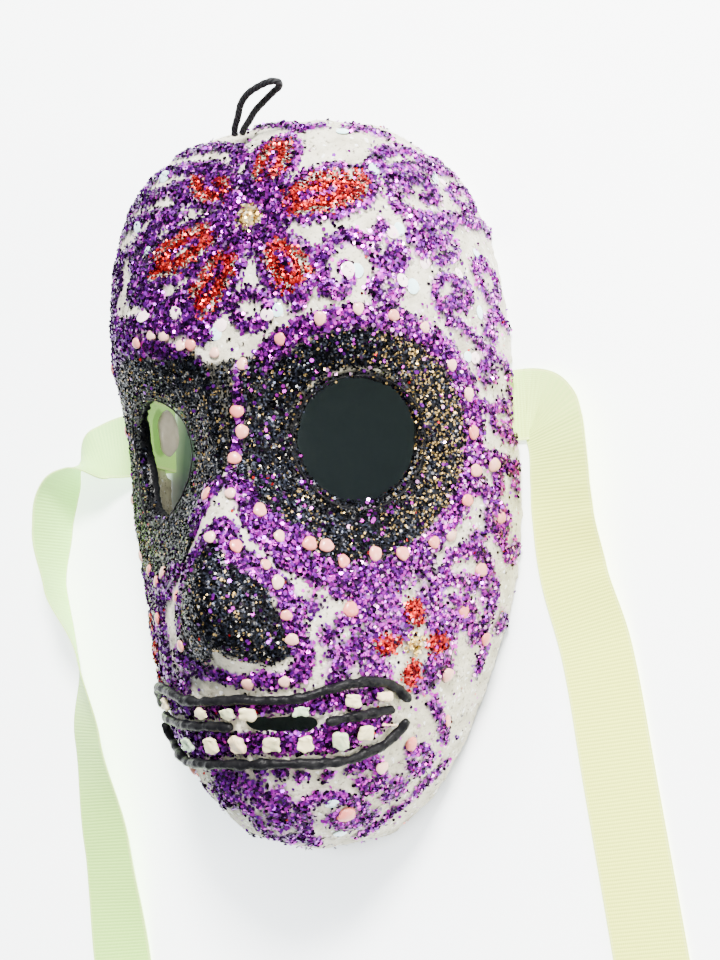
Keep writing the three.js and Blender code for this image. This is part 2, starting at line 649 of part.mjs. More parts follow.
makeShell();
makeEye(1, rightEye, 'right');
makeEye(-1, leftEye, 'left');
makeNose();
makeMouth();
makeForeheadFlower();
makeCheekFlower(1, 'right');
makeCheekFlower(-1, 'left');
SCROLLS.forEach((scroll) => makeScroll(...scroll));
makeRibbonEnd(1, 'right');
makeRibbonEnd(-1, 'left');
makeRibbon(1, 'right', RIGHT_RIBBON);
makeRibbon(-1, 'left', LEFT_RIBBON);
makeLoop();

// The origin is on the table, under the middle of the mask and its ribbons together.
const spread = new THREE.Box3();
const ofLoop = ['hanging_loop', 'loop_knot'];
group.children.filter((mesh) => !ofLoop.includes(mesh.name)).forEach((mesh) => spread.expandByObject(mesh));
const middle = spread.getCenter(V(0, 0, 0));
group.position.set(-middle.x, -middle.y, 0);

export default group;
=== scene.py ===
# %% [markdown]
# # A sugar-skull mask of paper pulp, glitter and ribbon
# The object is a papier-mache face mask with a hanging loop and two tie ribbons. Its parts, sizes
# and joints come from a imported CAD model, which is loaded first and never changed. Everything below
# adds the looks: rough pulp, hand-squeezed glue lines, thousands of glitter flakes, pearls, paint,
# cloth and cord. The whole script keeps to metres, as the frame does.

import math

import bpy
import numpy as np
from mathutils import Matrix, Vector
from mathutils.bvhtree import BVHTree


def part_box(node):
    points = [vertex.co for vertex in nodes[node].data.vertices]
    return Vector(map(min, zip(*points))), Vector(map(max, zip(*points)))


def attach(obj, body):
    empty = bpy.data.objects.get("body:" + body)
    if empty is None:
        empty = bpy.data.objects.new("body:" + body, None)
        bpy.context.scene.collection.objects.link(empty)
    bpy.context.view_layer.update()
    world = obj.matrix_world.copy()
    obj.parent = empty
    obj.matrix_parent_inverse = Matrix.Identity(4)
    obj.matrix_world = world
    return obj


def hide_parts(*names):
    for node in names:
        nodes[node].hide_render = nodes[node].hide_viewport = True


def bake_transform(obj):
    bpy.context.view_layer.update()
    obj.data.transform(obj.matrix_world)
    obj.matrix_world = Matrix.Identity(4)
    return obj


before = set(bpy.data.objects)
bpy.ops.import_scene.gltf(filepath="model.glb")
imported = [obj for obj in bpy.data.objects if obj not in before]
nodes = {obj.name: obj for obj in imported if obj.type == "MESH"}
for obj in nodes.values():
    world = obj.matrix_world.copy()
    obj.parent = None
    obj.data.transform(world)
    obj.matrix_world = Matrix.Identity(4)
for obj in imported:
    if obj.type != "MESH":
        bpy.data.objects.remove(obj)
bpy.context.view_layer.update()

# %% [markdown]
# ## Where things are
# The pattern on the mask is easiest to give in millimetres from the middle of the face, at the
# level where it is widest: x to the right as one looks at it, y to the crown, z out of the face.
# Right and left in names are meant the same way. The shell's own box says where that middle is.

# %% Measure the shell
MM = 0.001
CHIN_DROP = 110.4 * MM  # from the widest level of the face down to the chin
shell_low, shell_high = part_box("mask_shell")
MIDDLE = Vector(((shell_low.x + shell_high.x) / 2, shell_low.y + CHIN_DROP, 0))
HALF_WIDTH = (shell_high.x - shell_low.x) / 2


def at(x, y, z=0.0):
    """The place x, y, z millimetres from the middle of the face."""
    return MIDDLE + Vector((x, y, z)) * MM


print("mask", [round(1000 * v) for v in shell_high - shell_low], "mm")

# %% [markdown]
# ## Camera
# The mask lies on its back, so the camera looks down on it, from its right side and a little from
# the chin. A camera's local axes are right, up and back, so three unit vectors make its matrix. A
# small roll tips the view.

# %% Place the camera
YAW, PITCH, ROLL = math.radians(23.7), math.radians(-6.9), math.radians(-1.95)
CAMERA_DISTANCE = 0.4306
FOCAL_LENGTH = 74.1  # millimetres, on a frame 36 wide
AIM = at(26.9, -1.5, 40)

back = Vector((math.sin(YAW) * math.cos(PITCH), math.sin(PITCH), math.cos(YAW) * math.cos(PITCH)))
sideways = Vector((0, 1, 0)).cross(back).normalized()
upright = back.cross(sideways)
right = sideways * math.cos(ROLL) + upright * math.sin(ROLL)
up = upright * math.cos(ROLL) - sideways * math.sin(ROLL)
lens = bpy.data.cameras.new("camera")
lens.sensor_fit = "HORIZONTAL"
lens.sensor_width = 36
lens.lens = FOCAL_LENGTH
lens.clip_end = 10
camera = bpy.data.objects.new("camera", lens)
bpy.context.scene.collection.objects.link(camera)
turned = Matrix((right, up, back)).transposed().to_4x4()
camera.matrix_world = Matrix.Translation(AIM + back * CAMERA_DISTANCE) @ turned
bpy.context.scene.camera = camera
print("camera at", [round(v, 3) for v in camera.location])

# %% [markdown]
# ## Small tools
# Operators act on what is selected, and loading the frame leaves its nodes selected. So one helper
# selects a single object, and another applies a list of modifiers to it in order.

# %% Selecting and modifiers


def only(piece):
    """Select this object and nothing else."""
    bpy.ops.object.select_all(action="DESELECT")
    piece.hide_set(False)
    piece.select_set(True)
    bpy.context.view_layer.objects.active = piece
    return piece


def modify(piece, *steps):
    """Add each modifier (kind, settings) and apply it."""
    only(piece)
    for kind, settings in steps:
        added = piece.modifiers.new(kind.lower(), kind)
        for name, value in settings.items():
            setattr(added, name, value)
        bpy.ops.object.modifier_apply(modifier=added.name)
    return piece


def smooth_shade(piece, degrees=50):
    """Shade smooth, but keep edges sharper than this angle."""
    only(piece)
    bpy.ops.object.shade_smooth_by_angle(angle=math.radians(degrees))
    return piece


def lumps(name, size):
    """A soft random texture for Displace, with lumps of this size."""
    texture = bpy.data.textures.new(name, "CLOUDS")
    texture.noise_scale = size
    return texture


def copy_of(node, name):
    """A copy of a CAD node's mesh with its loose triangles joined up."""
    piece = bpy.data.objects.new(name, nodes[node].data.copy())
    bpy.context.scene.collection.objects.link(piece)
    piece.data.materials.clear()
    only(piece)
    bpy.ops.object.mode_set(mode="EDIT")
    bpy.ops.mesh.select_all(action="SELECT")
    bpy.ops.mesh.remove_doubles(threshold=0.00001)
    bpy.ops.object.mode_set(mode="OBJECT")
    return piece


def finish_piece(piece, material, slot, *replaced, body="mask"):
    """Give a piece its finish, attach it to the body it rides on and hide the nodes it stands for."""
    piece.data.materials.clear()
    piece.data.materials.append(material)
    if body:
        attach(piece, body)
    if replaced:
        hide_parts(*replaced)
    return piece


print("helpers ready")

# %% [markdown]
# ## Sums on sockets
# A material is a graph of nodes. Writing the graph as Python sums keeps it readable: `Line` wraps
# one socket, and its signs add Math nodes. `Finish.node` adds any other node.

# %% The shader helper


class Line:
    """A socket that can be added, multiplied and so on."""

    def __init__(self, finish, socket):
        self.finish = finish
        self.socket = socket

    def maths(self, operation, first, second):
        made = self.finish.node("ShaderNodeMath", {"operation": operation}, {0: first, 1: second})
        return made

    def __add__(self, other):
        return self.maths("ADD", self, other)

    def __sub__(self, other):
        return self.maths("SUBTRACT", self, other)

    def __rsub__(self, other):
        return self.maths("SUBTRACT", other, self)

    def __mul__(self, other):
        return self.maths("MULTIPLY", self, other)

    def __pow__(self, other):
        return self.maths("POWER", self, other)

    def __gt__(self, other):
        return self.maths("GREATER_THAN", self, other)

    __radd__ = __add__
    __rmul__ = __mul__


class Finish:
    """One material, with its Principled shader's constant values set on their own sockets."""

    def __init__(self, name, **constants):
        self.material = bpy.data.materials.new(name)
        self.material.use_nodes = True
        self.tree = self.material.node_tree
        self.shader = self.tree.nodes["Principled BSDF"]
        for socket, value in constants.items():
            self.shader.inputs[socket.replace("_", " ").title().replace("Ior", "IOR")].default_value = value

    def feed(self, socket, value):
        if isinstance(value, Line):
            self.tree.links.new(socket, value.socket)
        else:
            socket.default_value = value

    def node(self, kind, settings=None, sockets=None, out=0):
        """A new node: its settings first, then its sockets. Returns one of its outputs."""
        made = self.tree.nodes.new(kind)
        for name, value in (settings or {}).items():
            if name == "stops":
                ramp = made.color_ramp
                while len(ramp.elements) < len(value):
                    ramp.elements.new(0.5)
                for element, (place, colour) in zip(ramp.elements, value):
                    element.position = place
                    element.color = (*colour, 1)
            elif name == "steps":
                made.color_ramp.interpolation = "CONSTANT" if value else "LINEAR"
            else:
                setattr(made, name, value)
        for name, value in (sockets or {}).items():
            self.feed(made.inputs[name], value)
        return Line(self, made.outputs[out])

    def place(self):
        return self.node("ShaderNodeTexCoord", out="Object")

    def own_uv(self, name):
        return self.node("ShaderNodeUVMap", {"uv_map": name})

    def attribute(self, name):
        return self.node("ShaderNodeAttribute", {"attribute_name": name}, out="Fac")

    def noise(self, size, where=None, detail=3.0):
        """Soft noise with lumps of this size in metres."""
        sockets = {"Vector": where or self.place(), "Scale": 1 / size, "Detail": detail}
        return self.node("ShaderNodeTexNoise", {}, sockets)

    def cells(self, size, out="Distance"):
        """Voronoi cells of this size in metres."""
        return self.node("ShaderNodeTexVoronoi", {}, {"Vector": self.place(), "Scale": 1 / size}, out)

    def ramp(self, fac, stops, steps=False):
        return self.node("ShaderNodeValToRGB", {"stops": stops, "steps": steps}, {"Fac": fac})

    def mix(self, share, first, second):
        """A blend of two colours."""
        sockets = {0: share, 6: first, 7: second}
        return self.node("ShaderNodeMix", {"data_type": "RGBA"}, sockets, out=2)

    def channel(self, colour):
        """The red share of a colour, as a number."""
        return self.node("ShaderNodeSeparateColor", {}, {0: colour})

    def set(self, **values):
        for name, value in values.items():
            self.feed(self.shader.inputs[name.replace("_", " ").title()], value)

    def bump(self, height, depth):
        """Raise the surface by height, a socket from 0 to 1, times depth in metres."""
        sockets = {"Strength": 1.0, "Distance": depth, "Height": height}
        self.set(normal=self.node("ShaderNodeBump", {}, sockets))


print("shader helper ready")

# %% [markdown]
# ## Lines and strips in space
# Cord, ribbon and glue lines all follow a smooth line through a few points. A centripetal
# Catmull-Rom line passes through every point without loops or overshoot, whatever the spacing.

# %% A smooth line through points


def smooth_line(points, shares):
    """Places on the smooth line through the points, at shares from 0 to 1 of the way, and its directions."""
    points = np.asarray(points, float)
    ends = np.vstack([2 * points[0] - points[1], points, 2 * points[-1] - points[-2]])
    slot = np.minimum(np.asarray(shares) * (len(points) - 1), len(points) - 1.0001)
    low = slot.astype(int)
    part = (slot - low)[:, None]
    p0, p1, p2, p3 = (ends[low + k] for k in range(4))
    spans = ((p0, p1), (p1, p2), (p2, p3))
    d0, d1, d2 = (np.maximum(np.linalg.norm(b - a, axis=1), 1e-9)[:, None] ** 0.5 for a, b in spans)
    start = ((p1 - p0) / d0 - (p2 - p0) / (d0 + d1) + (p2 - p1) / d1) * d1
    stop = ((p2 - p1) / d1 - (p3 - p1) / (d1 + d2) + (p3 - p2) / d2) * d1
    square, cube = -3 * p1 + 3 * p2 - 2 * start - stop, 2 * p1 - 2 * p2 + start + stop
    place = p1 + part * (start + part * (square + part * cube))
    going = start + part * (2 * square + 3 * part * cube)
    return place, going / np.linalg.norm(going, axis=1)[:, None]


def new_piece(name, vertices, faces, uv=None):
    """A mesh object from its corners and faces, with one UV pair per corner if given."""
    mesh = bpy.data.meshes.new(name)
    mesh.from_pydata([tuple(v) for v in vertices], [], [tuple(f) for f in faces])
    if uv is not None:
        layer = mesh.uv_layers.new(name="Along")
        corners = np.zeros(len(mesh.loops), int)
        mesh.loops.foreach_get("vertex_index", corners)
        layer.data.foreach_set("uv", np.asarray(uv, np.float32)[corners].ravel())
    piece = bpy.data.objects.new(name, mesh)
    bpy.context.scene.collection.objects.link(piece)
    return piece


def grid_faces(rows, columns, wrap=False):
    """The four corners of each face of a grid of corners; wrap joins the last column to the first."""
    faces = []
    for row in range(rows - 1):
        for column in range(columns if wrap else columns - 1):
            beside = (column + 1) % columns
            here, above = row * columns, (row + 1) * columns
            faces.append((here + column, here + beside, above + beside, above + column))
    return faces


def tube(name, points, radius, sides, rings, braid=0.0):
    """A round cord along the smooth line through the points. A braid makes its strands stand out."""
    place, going = smooth_line(points, np.linspace(0, 1, rings))
    step = np.linalg.norm(np.diff(place, axis=0), axis=1)
    along = np.concatenate([[0], np.cumsum(step)])
    across = np.cross(going[0], (0.3, 0.5, 0.8))
    corners, uv = [], []
    for i in range(rings):
        across = across - going[i] * across.dot(going[i])
        across = across / np.linalg.norm(across)
        other = np.cross(going[i], across)
        for j in range(sides):
            turn = 2 * math.pi * j / sides
            twist = 2 * math.pi * along[i] / (radius * 5)
            relief = abs(math.sin(2 * turn + twist)) + abs(math.sin(2 * turn - twist))
            reach = radius * (1 + braid * (relief - 1.3))
            corners.append(place[i] + (across * math.cos(turn) + other * math.sin(turn)) * reach)
            uv.append((j / sides, along[i] / (radius * 6.3)))
    faces = [tuple(reversed(f)) for f in grid_faces(rings, sides, wrap=True)]
    faces.append(tuple(range(sides)))
    faces.append(tuple(reversed(range((rings - 1) * sides, rings * sides))))
    piece = new_piece(name, corners, faces, uv)
    only(piece)
    bpy.ops.object.mode_set(mode="EDIT")
    bpy.ops.mesh.select_all(action="SELECT")
    bpy.ops.mesh.normals_make_consistent(inside=False)
    bpy.ops.object.mode_set(mode="OBJECT")
    return piece, float(along[-1]), place


print("line tools ready")

# %% [markdown]
# ## The hanging loop
# A short black elastic cord comes out of a hole in the crown, loops over and goes back in beside
# itself, and a knot inside holds it. Its route is given in the hole's own directions: along the
# crown, up the head and straight out. A tube with a fine crossed relief reads as braid.

# %% Make the cord and knot
HOLE = at(-2.4, 102.1, 53.63)
HOLE_OUT = Vector((-0.008, 0.73, 0.68)).normalized()
HOLE_ALONG = Vector((1, 0, 0.015)).normalized()
HOLE_UP = HOLE_OUT.cross(HOLE_ALONG).normalized()
CORD_RADIUS = 1.0 * MM
LOOP = [(-1.25, 0, 1.5), (-0.3, 0, 3.7), (1.9, 0, 6.7), (4.4, 0.1, 10.4), (7.6, 0, 12.9), (11.6, -0.2, 14.4)]
LOOP += [(15.2, -0.4, 15.2), (17.3, -0.2, 15.1), (18.3, 0.4, 14.1), (17.6, 1.1, 12.8), (15.2, 1.5, 11.5)]
LOOP += [(11, 1.5, 9.2), (7.3, 1.1, 7), (4.7, 0.5, 4.7), (2.5, 0.1, 2.9), (1.25, 0, 1.5)]
loop_points = [HOLE + (HOLE_ALONG * u + HOLE_UP * v + HOLE_OUT * w) * MM for u, v, w in LOOP]

braid = Finish("black_braid", roughness=0.6, specular_ior_level=0.15)
braid_uv = braid.own_uv("Along")
wave = {"Vector": braid_uv, "Scale": 3.0, "Distortion": 1.0}
strands = braid.node("ShaderNodeTexWave", {"bands_direction": "DIAGONAL"}, wave)
braid.set(base_color=braid.ramp(strands, [(0.2, (0.002, 0.002, 0.003)), (0.9, (0.014, 0.014, 0.016))]))
braid.bump(strands, 0.00015)

loop_cord, loop_length, loop_line = tube("loop_cord", loop_points, CORD_RADIUS, 20, 260, braid=0.1)
smooth_shade(loop_cord, 60)
finish_piece(loop_cord, braid.material, "braided_cord", "hanging_loop", body="loop")

knot = copy_of("loop_knot", "cord_knot")
ROUNDED = ("SUBSURF", {"levels": 2, "render_levels": 2})
strand_wraps = {"texture": lumps("knot_wraps", 0.0016), "strength": 0.0009, "mid_level": 0.5}
modify(knot, ROUNDED, ("DISPLACE", strand_wraps))
smooth_shade(knot)
finish_piece(knot, braid.material, "braided_cord", "loop_knot")
print("loop cord", round(1000 * loop_length), "mm long")

# %% [markdown]
# ## The tie ribbons
# Grosgrain ribbon is a flat woven band with ribs across it and a plain woven edge. Each ribbon is
# one cut length: its end is glued up inside the shell, it folds out under the rim, lies on the
# table in a slack curve, and its spare end is rolled up. Each station below gives the ribbon's
# middle (out from the fold, level, height) and the direction of its width. The ribs are real
# geometry, because a raised line shows in raking light where paint would not.

# %% Ribbon routes
RIBBON_WIDTH = 22.0
RIBBON_THICK = 0.45
RIBBON_LEVEL = 22.5
FOLD = 1000 * HALF_WIDTH + 2.2  # how far out each ribbon folds, in millimetres
ROLL_INNER, ROLL_PITCH, ROLL_TURNS = 5.2, 1.7, 2.1
RIGHT_ROUTE = [
    (0, 22.5, 1.3, 0, 1, 0),
    (1, 22.5, 1.4, 0, 1, 0),
    (5.4, 21.4, 1.8, 0.42, 0.9, 0.12),
    (8.6, 18, 2.6, 0.74, 0.62, 0.25),
    (10, 13.5, 3.4, 0.86, 0.38, 0.34),
    (10.7, 8, 4, 0.9, 0.14, 0.4),
    (10.8, -2, 4, 0.93, 0, 0.37),
    (11, -12, 3.4, 0.95, -0.04, 0.31),
    (13, -30, 2, 0.985, -0.06, 0.15),
    (18.4, -53, 1, 0.994, -0.1, 0.03),
    (23.4, -92, 0.8, 0.992, -0.12, 0),
    (29.6, -141, 0.8, 0.992, -0.12, 0),
    (32.8, -166, 0.8, 0.992, -0.12, 0),
]
LEFT_ROUTE = [
    (0, 22.5, 1.3, 0, 1, 0),
    (1.6, 22.5, 1.5, 0, 1, 0),
    (8.4, 22, 3.2, -0.06, 0.98, -0.12),
    (18.4, 20, 6.6, -0.22, 0.88, -0.42),
    (27.4, 14.5, 10, -0.3, 0.56, -0.77),
    (33.2, 6, 11.2, -0.16, 0.2, -0.97),
    (35.6, -6, 11.2, -0.04, 0.02, -1),
    (34.8, -26, 11, 0.26, 0, -0.965),
    (26.8, -50, 9.9, 0.55, 0, -0.835),
    (24.9, -77, 7.6, 0.83, 0, -0.56),
    (20.4, -112, 3.6, 0.97, -0.03, -0.24),
    (16.7, -149, 0.9, 0.996, -0.09, 0),
    (14.6, -166, 0.8, 0.996, -0.09, 0),
]


def rolled(route):
    """The route with its spare end rolled up past the last station."""
    x, y, z, wx, wy, _ = route[-1]
    ahead = Vector((x - route[-2][0], y - route[-2][1])).normalized()
    outer = ROLL_INNER + ROLL_PITCH * ROLL_TURNS
    stations = list(route)
    count = round(14 * ROLL_TURNS)
    for i in range(1, count + 1):
        turn = 2 * math.pi * ROLL_TURNS * i / count
        radius = outer - ROLL_PITCH * turn / (2 * math.pi)
        go = radius * math.sin(turn) + 6
        stations.append((x + ahead.x * go, y + ahead.y * go, z + outer - radius * math.cos(turn), wx, wy, 0))
    return stations


def tree_of(node):
    """A CAD node's faces, ready for rays."""
    mesh = nodes[node].data
    return BVHTree.FromPolygons([v.co for v in mesh.vertices], [p.vertices for p in mesh.polygons])


cad_shell = tree_of("mask_shell")


def inner_wall(side, z):
    """How far out the inside of the shell is at the ribbon's level and this height, in millimetres."""
    hit = cad_shell.ray_cast(at(0, RIBBON_LEVEL + RIBBON_WIDTH / 2, z), Vector((side, 0, 0)))[0]
    return abs(hit.x - MIDDLE.x) * 1000


def ribbon_stations(side, route):
    """Every station of one ribbon, from its glued end to its rolled end, in metres."""
    inside = [(inner_wall(side, z) - 2.2, RIBBON_LEVEL, z, 0, 1, 0) for z in (24, 14, 6)]
    wall = 1000 * HALF_WIDTH - 3.4
    under_rim = [(wall - 2.2, RIBBON_LEVEL, 1.9, 0, 1, 0), (wall + 1.7, RIBBON_LEVEL, 1.3, 0, 1, 0)]
    outside = [(FOLD + x, *rest) for x, *rest in rolled(route)]
    places, widths = [], []
    for x, y, z, wx, wy, wz in inside + under_rim + outside:
        places.append(at(side * x, y, z))
        widths.append(Vector((side * wx, wy, wz)).normalized())
    return places, widths


print("ribbon folds", round(FOLD, 1), "mm out from the middle")

# %% [markdown]
# A strip is laid on the stations: rows of corners across the width, one row every half
# millimetre. Every row knows how far along the cut length it is, so the ribs stay the same size
# round every bend. Solidify then gives the cloth its thickness.

# %% Make the ribbons
RIB = 0.00105  # one rib of the weave along the ribbon
ROW = RIB / 4
THREAD = 0.0006  # from one lengthwise thread to the next
SELVAGE = 0.0102  # from the middle of the ribbon to where its woven edge begins


def make_ribbon(name, side, route):
    places, widths = ribbon_stations(side, route)
    rough = smooth_line(places, np.linspace(0, 1, 4000))[0]
    reach = np.concatenate([[0], np.cumsum(np.linalg.norm(np.diff(rough, axis=0), axis=1))])
    length = reach[-1]
    rows = int(length / ROW)
    shares = np.interp(np.linspace(0, length, rows), reach, np.linspace(0, 1, 4000))
    middle, going = smooth_line(places, shares)
    slot = np.minimum(shares * (len(widths) - 1), len(widths) - 1.0001)
    low = slot.astype(int)
    part = (slot - low)[:, None]
    ease = part * part * (3 - 2 * part)
    widths = np.array(widths)
    across = widths[low] * (1 - ease) + widths[low + 1] * ease
    across -= going * np.sum(across * going, axis=1)[:, None]
    across /= np.linalg.norm(across, axis=1)[:, None]
    face = np.cross(going, across)
    width, thick = RIBBON_WIDTH * MM, RIBBON_THICK * MM
    hangs = (np.abs(across[:, 2]) * width + np.abs(face[:, 2]) * 0.6 * MM) / 2
    middle[:, 2] = np.maximum(middle[:, 2], hangs + 0.3 * MM)
    columns = np.array([-0.5, -0.485, -0.46, -0.3, -0.1, 0.1, 0.3, 0.46, 0.485, 0.5])
    rib = 0.00007 * np.cos(2 * np.pi * np.linspace(0, length, rows) / RIB)
    plain = np.clip((0.49 - np.abs(columns)) / 0.03, 0, 1)
    corners = middle[:, None] + across[:, None] * columns[None, :, None] * width
    corners = corners + face[:, None] * (rib[:, None] * plain[None, :])[:, :, None]
    along = np.linspace(0, length, rows)
    uv = np.stack(np.meshgrid(columns * width, along), axis=-1).reshape(-1, 2)
    piece = new_piece(name, corners.reshape(-1, 3), grid_faces(rows, len(columns)), uv)
    modify(piece, ("SOLIDIFY", {"thickness": thick, "offset": 0.0}))
    smooth_shade(piece, 60)
    return piece, float(length)


# The emission makes the ribbon cloth glow a little, though it is no lamp: painted light.
ribbon_cloth = Finish("grosgrain", roughness=0.62, sheen_weight=0.1, emission_strength=0.4)
cloth_uv = ribbon_cloth.own_uv("Along")
parts = ribbon_cloth.node("ShaderNodeSeparateXYZ", {}, {0: cloth_uv})
to_edge = ribbon_cloth.node("ShaderNodeMath", {"operation": "ABSOLUTE"}, {0: parts})
along = ribbon_cloth.node("ShaderNodeSeparateXYZ", {}, {0: cloth_uv}, out=1)
sine = {"operation": "SINE"}
ribs = ribbon_cloth.node("ShaderNodeMath", sine, {0: along * (2 * math.pi / RIB)}) * 0.5 + 0.5
threads = ribbon_cloth.node("ShaderNodeMath", sine, {0: parts * (2 * math.pi / THREAD)}) * 0.5 + 0.5
selvage = to_edge > SELVAGE
dye = ribbon_cloth.noise(0.05, detail=1.0)
spot = ribbon_cloth.place()
# The ribbon's colour shifts with place: yellower to the right, more mint towards the crown. These shifts are
# painted light and shade.
to_right = ribbon_cloth.node("ShaderNodeSeparateXYZ", {}, {0: spot}) * 12 + 0.5
to_crown = ribbon_cloth.node("ShaderNodeSeparateXYZ", {}, {0: spot}, out=1) * 22 - 0.35
painted_side_light = ribbon_cloth.mix(to_right, (0.44, 0.84, 0.14, 1), (0.88, 0.95, 0.12, 1))
mint = ribbon_cloth.mix(to_crown * 0.5, painted_side_light, (0.42, 0.86, 0.32, 1))
lime = ribbon_cloth.mix(dye * 0.25, mint, (0.66, 0.92, 0.26, 1))
shadowed = ribbon_cloth.mix(ribs * 0.3, lime, (0.50, 0.72, 0.16, 1))
woven = ribbon_cloth.mix(selvage * 0.3, shadowed, (0.86, 0.95, 0.40, 1))
# The glow takes the cloth's own colour: painted light.
ribbon_cloth.set(base_color=woven, emission_color=woven)
ribbon_cloth.set(roughness=0.52 + threads * 0.2)
ribbon_cloth.bump(threads * 0.5 + ribs * 0.5, 0.00006)

for name, side, route in (("right", 1, RIGHT_ROUTE), ("left", -1, LEFT_ROUTE)):
    piece, length = make_ribbon(f"{name}_tie_ribbon", side, route)
    stands_for = (f"{name}_ribbon", f"{name}_ribbon_end")
    finish_piece(piece, ribbon_cloth.material, "ribbon_cloth", *stands_for, body=None)
    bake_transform(piece)
    print(name, "ribbon cut", round(1000 * length), "mm long,", len(piece.data.polygons), "faces")

# %% [markdown]
# ## The pulp shell
# The CAD shell has flat facets, which suit physics but not a hand-made mask. A copy of it is
# remeshed into small even squares and smoothed, and the smoothing is held back near the eye holes
# and the rim, where it would eat the edges. Lumpy and fibrous Displace passes come last, because
# they would be smoothed away if they came first.

# %% Make the fine shell
GRAIN = 1.1 * MM  # size of one square of the fine shell
EYES = {"right": 1, "left": -1}
EYE_TURN, EYE_DOWN = math.radians(31), math.radians(19)


def eye_axis(side):
    """The direction in which the eye hole on this side looks."""
    level_share = math.cos(EYE_DOWN)
    out = math.cos(EYE_TURN) * level_share
    return Vector((math.sin(EYE_TURN) * side * level_share, -math.sin(EYE_DOWN), out))


def eye_middle(name):
    """Where the eye hole's axis meets the face."""
    low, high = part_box(f"{name}_eye_rim")
    return (low + high) / 2


def from_axis(points, middle, axis):
    """How far each point is from the line through middle along axis."""
    apart = points - np.array(middle)
    return np.linalg.norm(apart - np.outer(apart @ np.array(axis), np.array(axis)), axis=1)


def from_eyes(points):
    """How far each point is from the nearer eye hole's axis."""
    axes = [(eye_middle(name), eye_axis(side)) for name, side in EYES.items()]
    return np.minimum.reduce([from_axis(points, middle, axis) for middle, axis in axes])


def corners_of(piece):
    co = np.zeros(len(piece.data.vertices) * 3, np.float32)
    piece.data.vertices.foreach_get("co", co)
    return co.reshape(-1, 3).astype(float)


def normals_of(piece):
    co = np.zeros(len(piece.data.vertices) * 3, np.float32)
    piece.data.vertex_normals.foreach_get("vector", co)
    return co.reshape(-1, 3).astype(float)


def move_corners(piece, co):
    piece.data.vertices.foreach_set("co", np.asarray(co, np.float32).ravel())
    piece.data.update()


shell = copy_of("mask_shell", "pulp_shell")
modify(shell, ("REMESH", {"mode": "VOXEL", "voxel_size": GRAIN}))
spots = corners_of(shell)
freedom = np.clip((from_eyes(spots) - 0.021) / 0.004, 0, 1) * np.clip((spots[:, 2] - 0.003) / 0.004, 0, 1)
free = shell.vertex_groups.new(name="free")
for share in range(1, 11):
    chosen = np.flatnonzero(np.round(freedom * 10).astype(int) == share)
    free.add(chosen.tolist(), share / 10, "REPLACE")
modify(
    shell,
    ("SMOOTH", {"factor": 0.5, "iterations": 6}),
    ("SMOOTH", {"factor": 0.5, "iterations": 45, "vertex_group": "free"}),
)
print("fine shell", len(shell.data.polygons), "faces")

# %% [markdown]
# ## Reading the CAD's decorations
# The CAD model says where every raised decoration lies, as thin plates just over the skin. A ray
# from below each corner of the fine skin, straight out, finds whether a plate covers it. That gives
# each decoration's outline on the smooth skin without measuring anything twice.

# %% Find what covers the skin
skin_co = corners_of(shell)
skin_normal = normals_of(shell)
hub = np.array(at(0, 0, -15))
outward = skin_co - hub
outward /= np.linalg.norm(outward, axis=1)[:, None]
outer = (np.sum(outward * skin_normal, axis=1) > 0.35) & (skin_co[:, 2] > 1.5 * MM)
skin_tree = BVHTree.FromPolygons(skin_co.tolist(), [tuple(p.vertices) for p in shell.data.polygons])


NEAR = 0.003  # a corner further than this from a node's box can't lie under it


def covered_by(node):
    """Which corners of the skin lie under this CAD node."""
    tree = tree_of(node)
    low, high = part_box(node)
    past_low = np.all(skin_co > np.array(low) - NEAR, axis=1)
    close = outer & past_low & np.all(skin_co < np.array(high) + NEAR, axis=1)
    covered = np.zeros(len(skin_co), bool)
    for i in np.flatnonzero(close):
        start = Vector(skin_co[i] - skin_normal[i] * 0.0015)
        covered[i] = tree.ray_cast(start, Vector(skin_normal[i]), 0.0055)[0] is not None
    return covered


FLAT_ENDS = ("_patch", "_eye_band", "_teeth_band", "_centre")
FLAT_NODES = [n for n in nodes if n.endswith(FLAT_ENDS) or "_petal_" in n]
under = {node: covered_by(node) for node in FLAT_NODES}
print({node: int(found.sum()) for node, found in under.items()})

# %% [markdown]
# ## Glue lines drawn by hand
# The curls, rings and borders are squeezed lines of glue covered with glitter. Each is a few points
# in millimetres from the middle of the face, with the line's width. The lines on one temple are
# mirrored to the other, as the maker did.

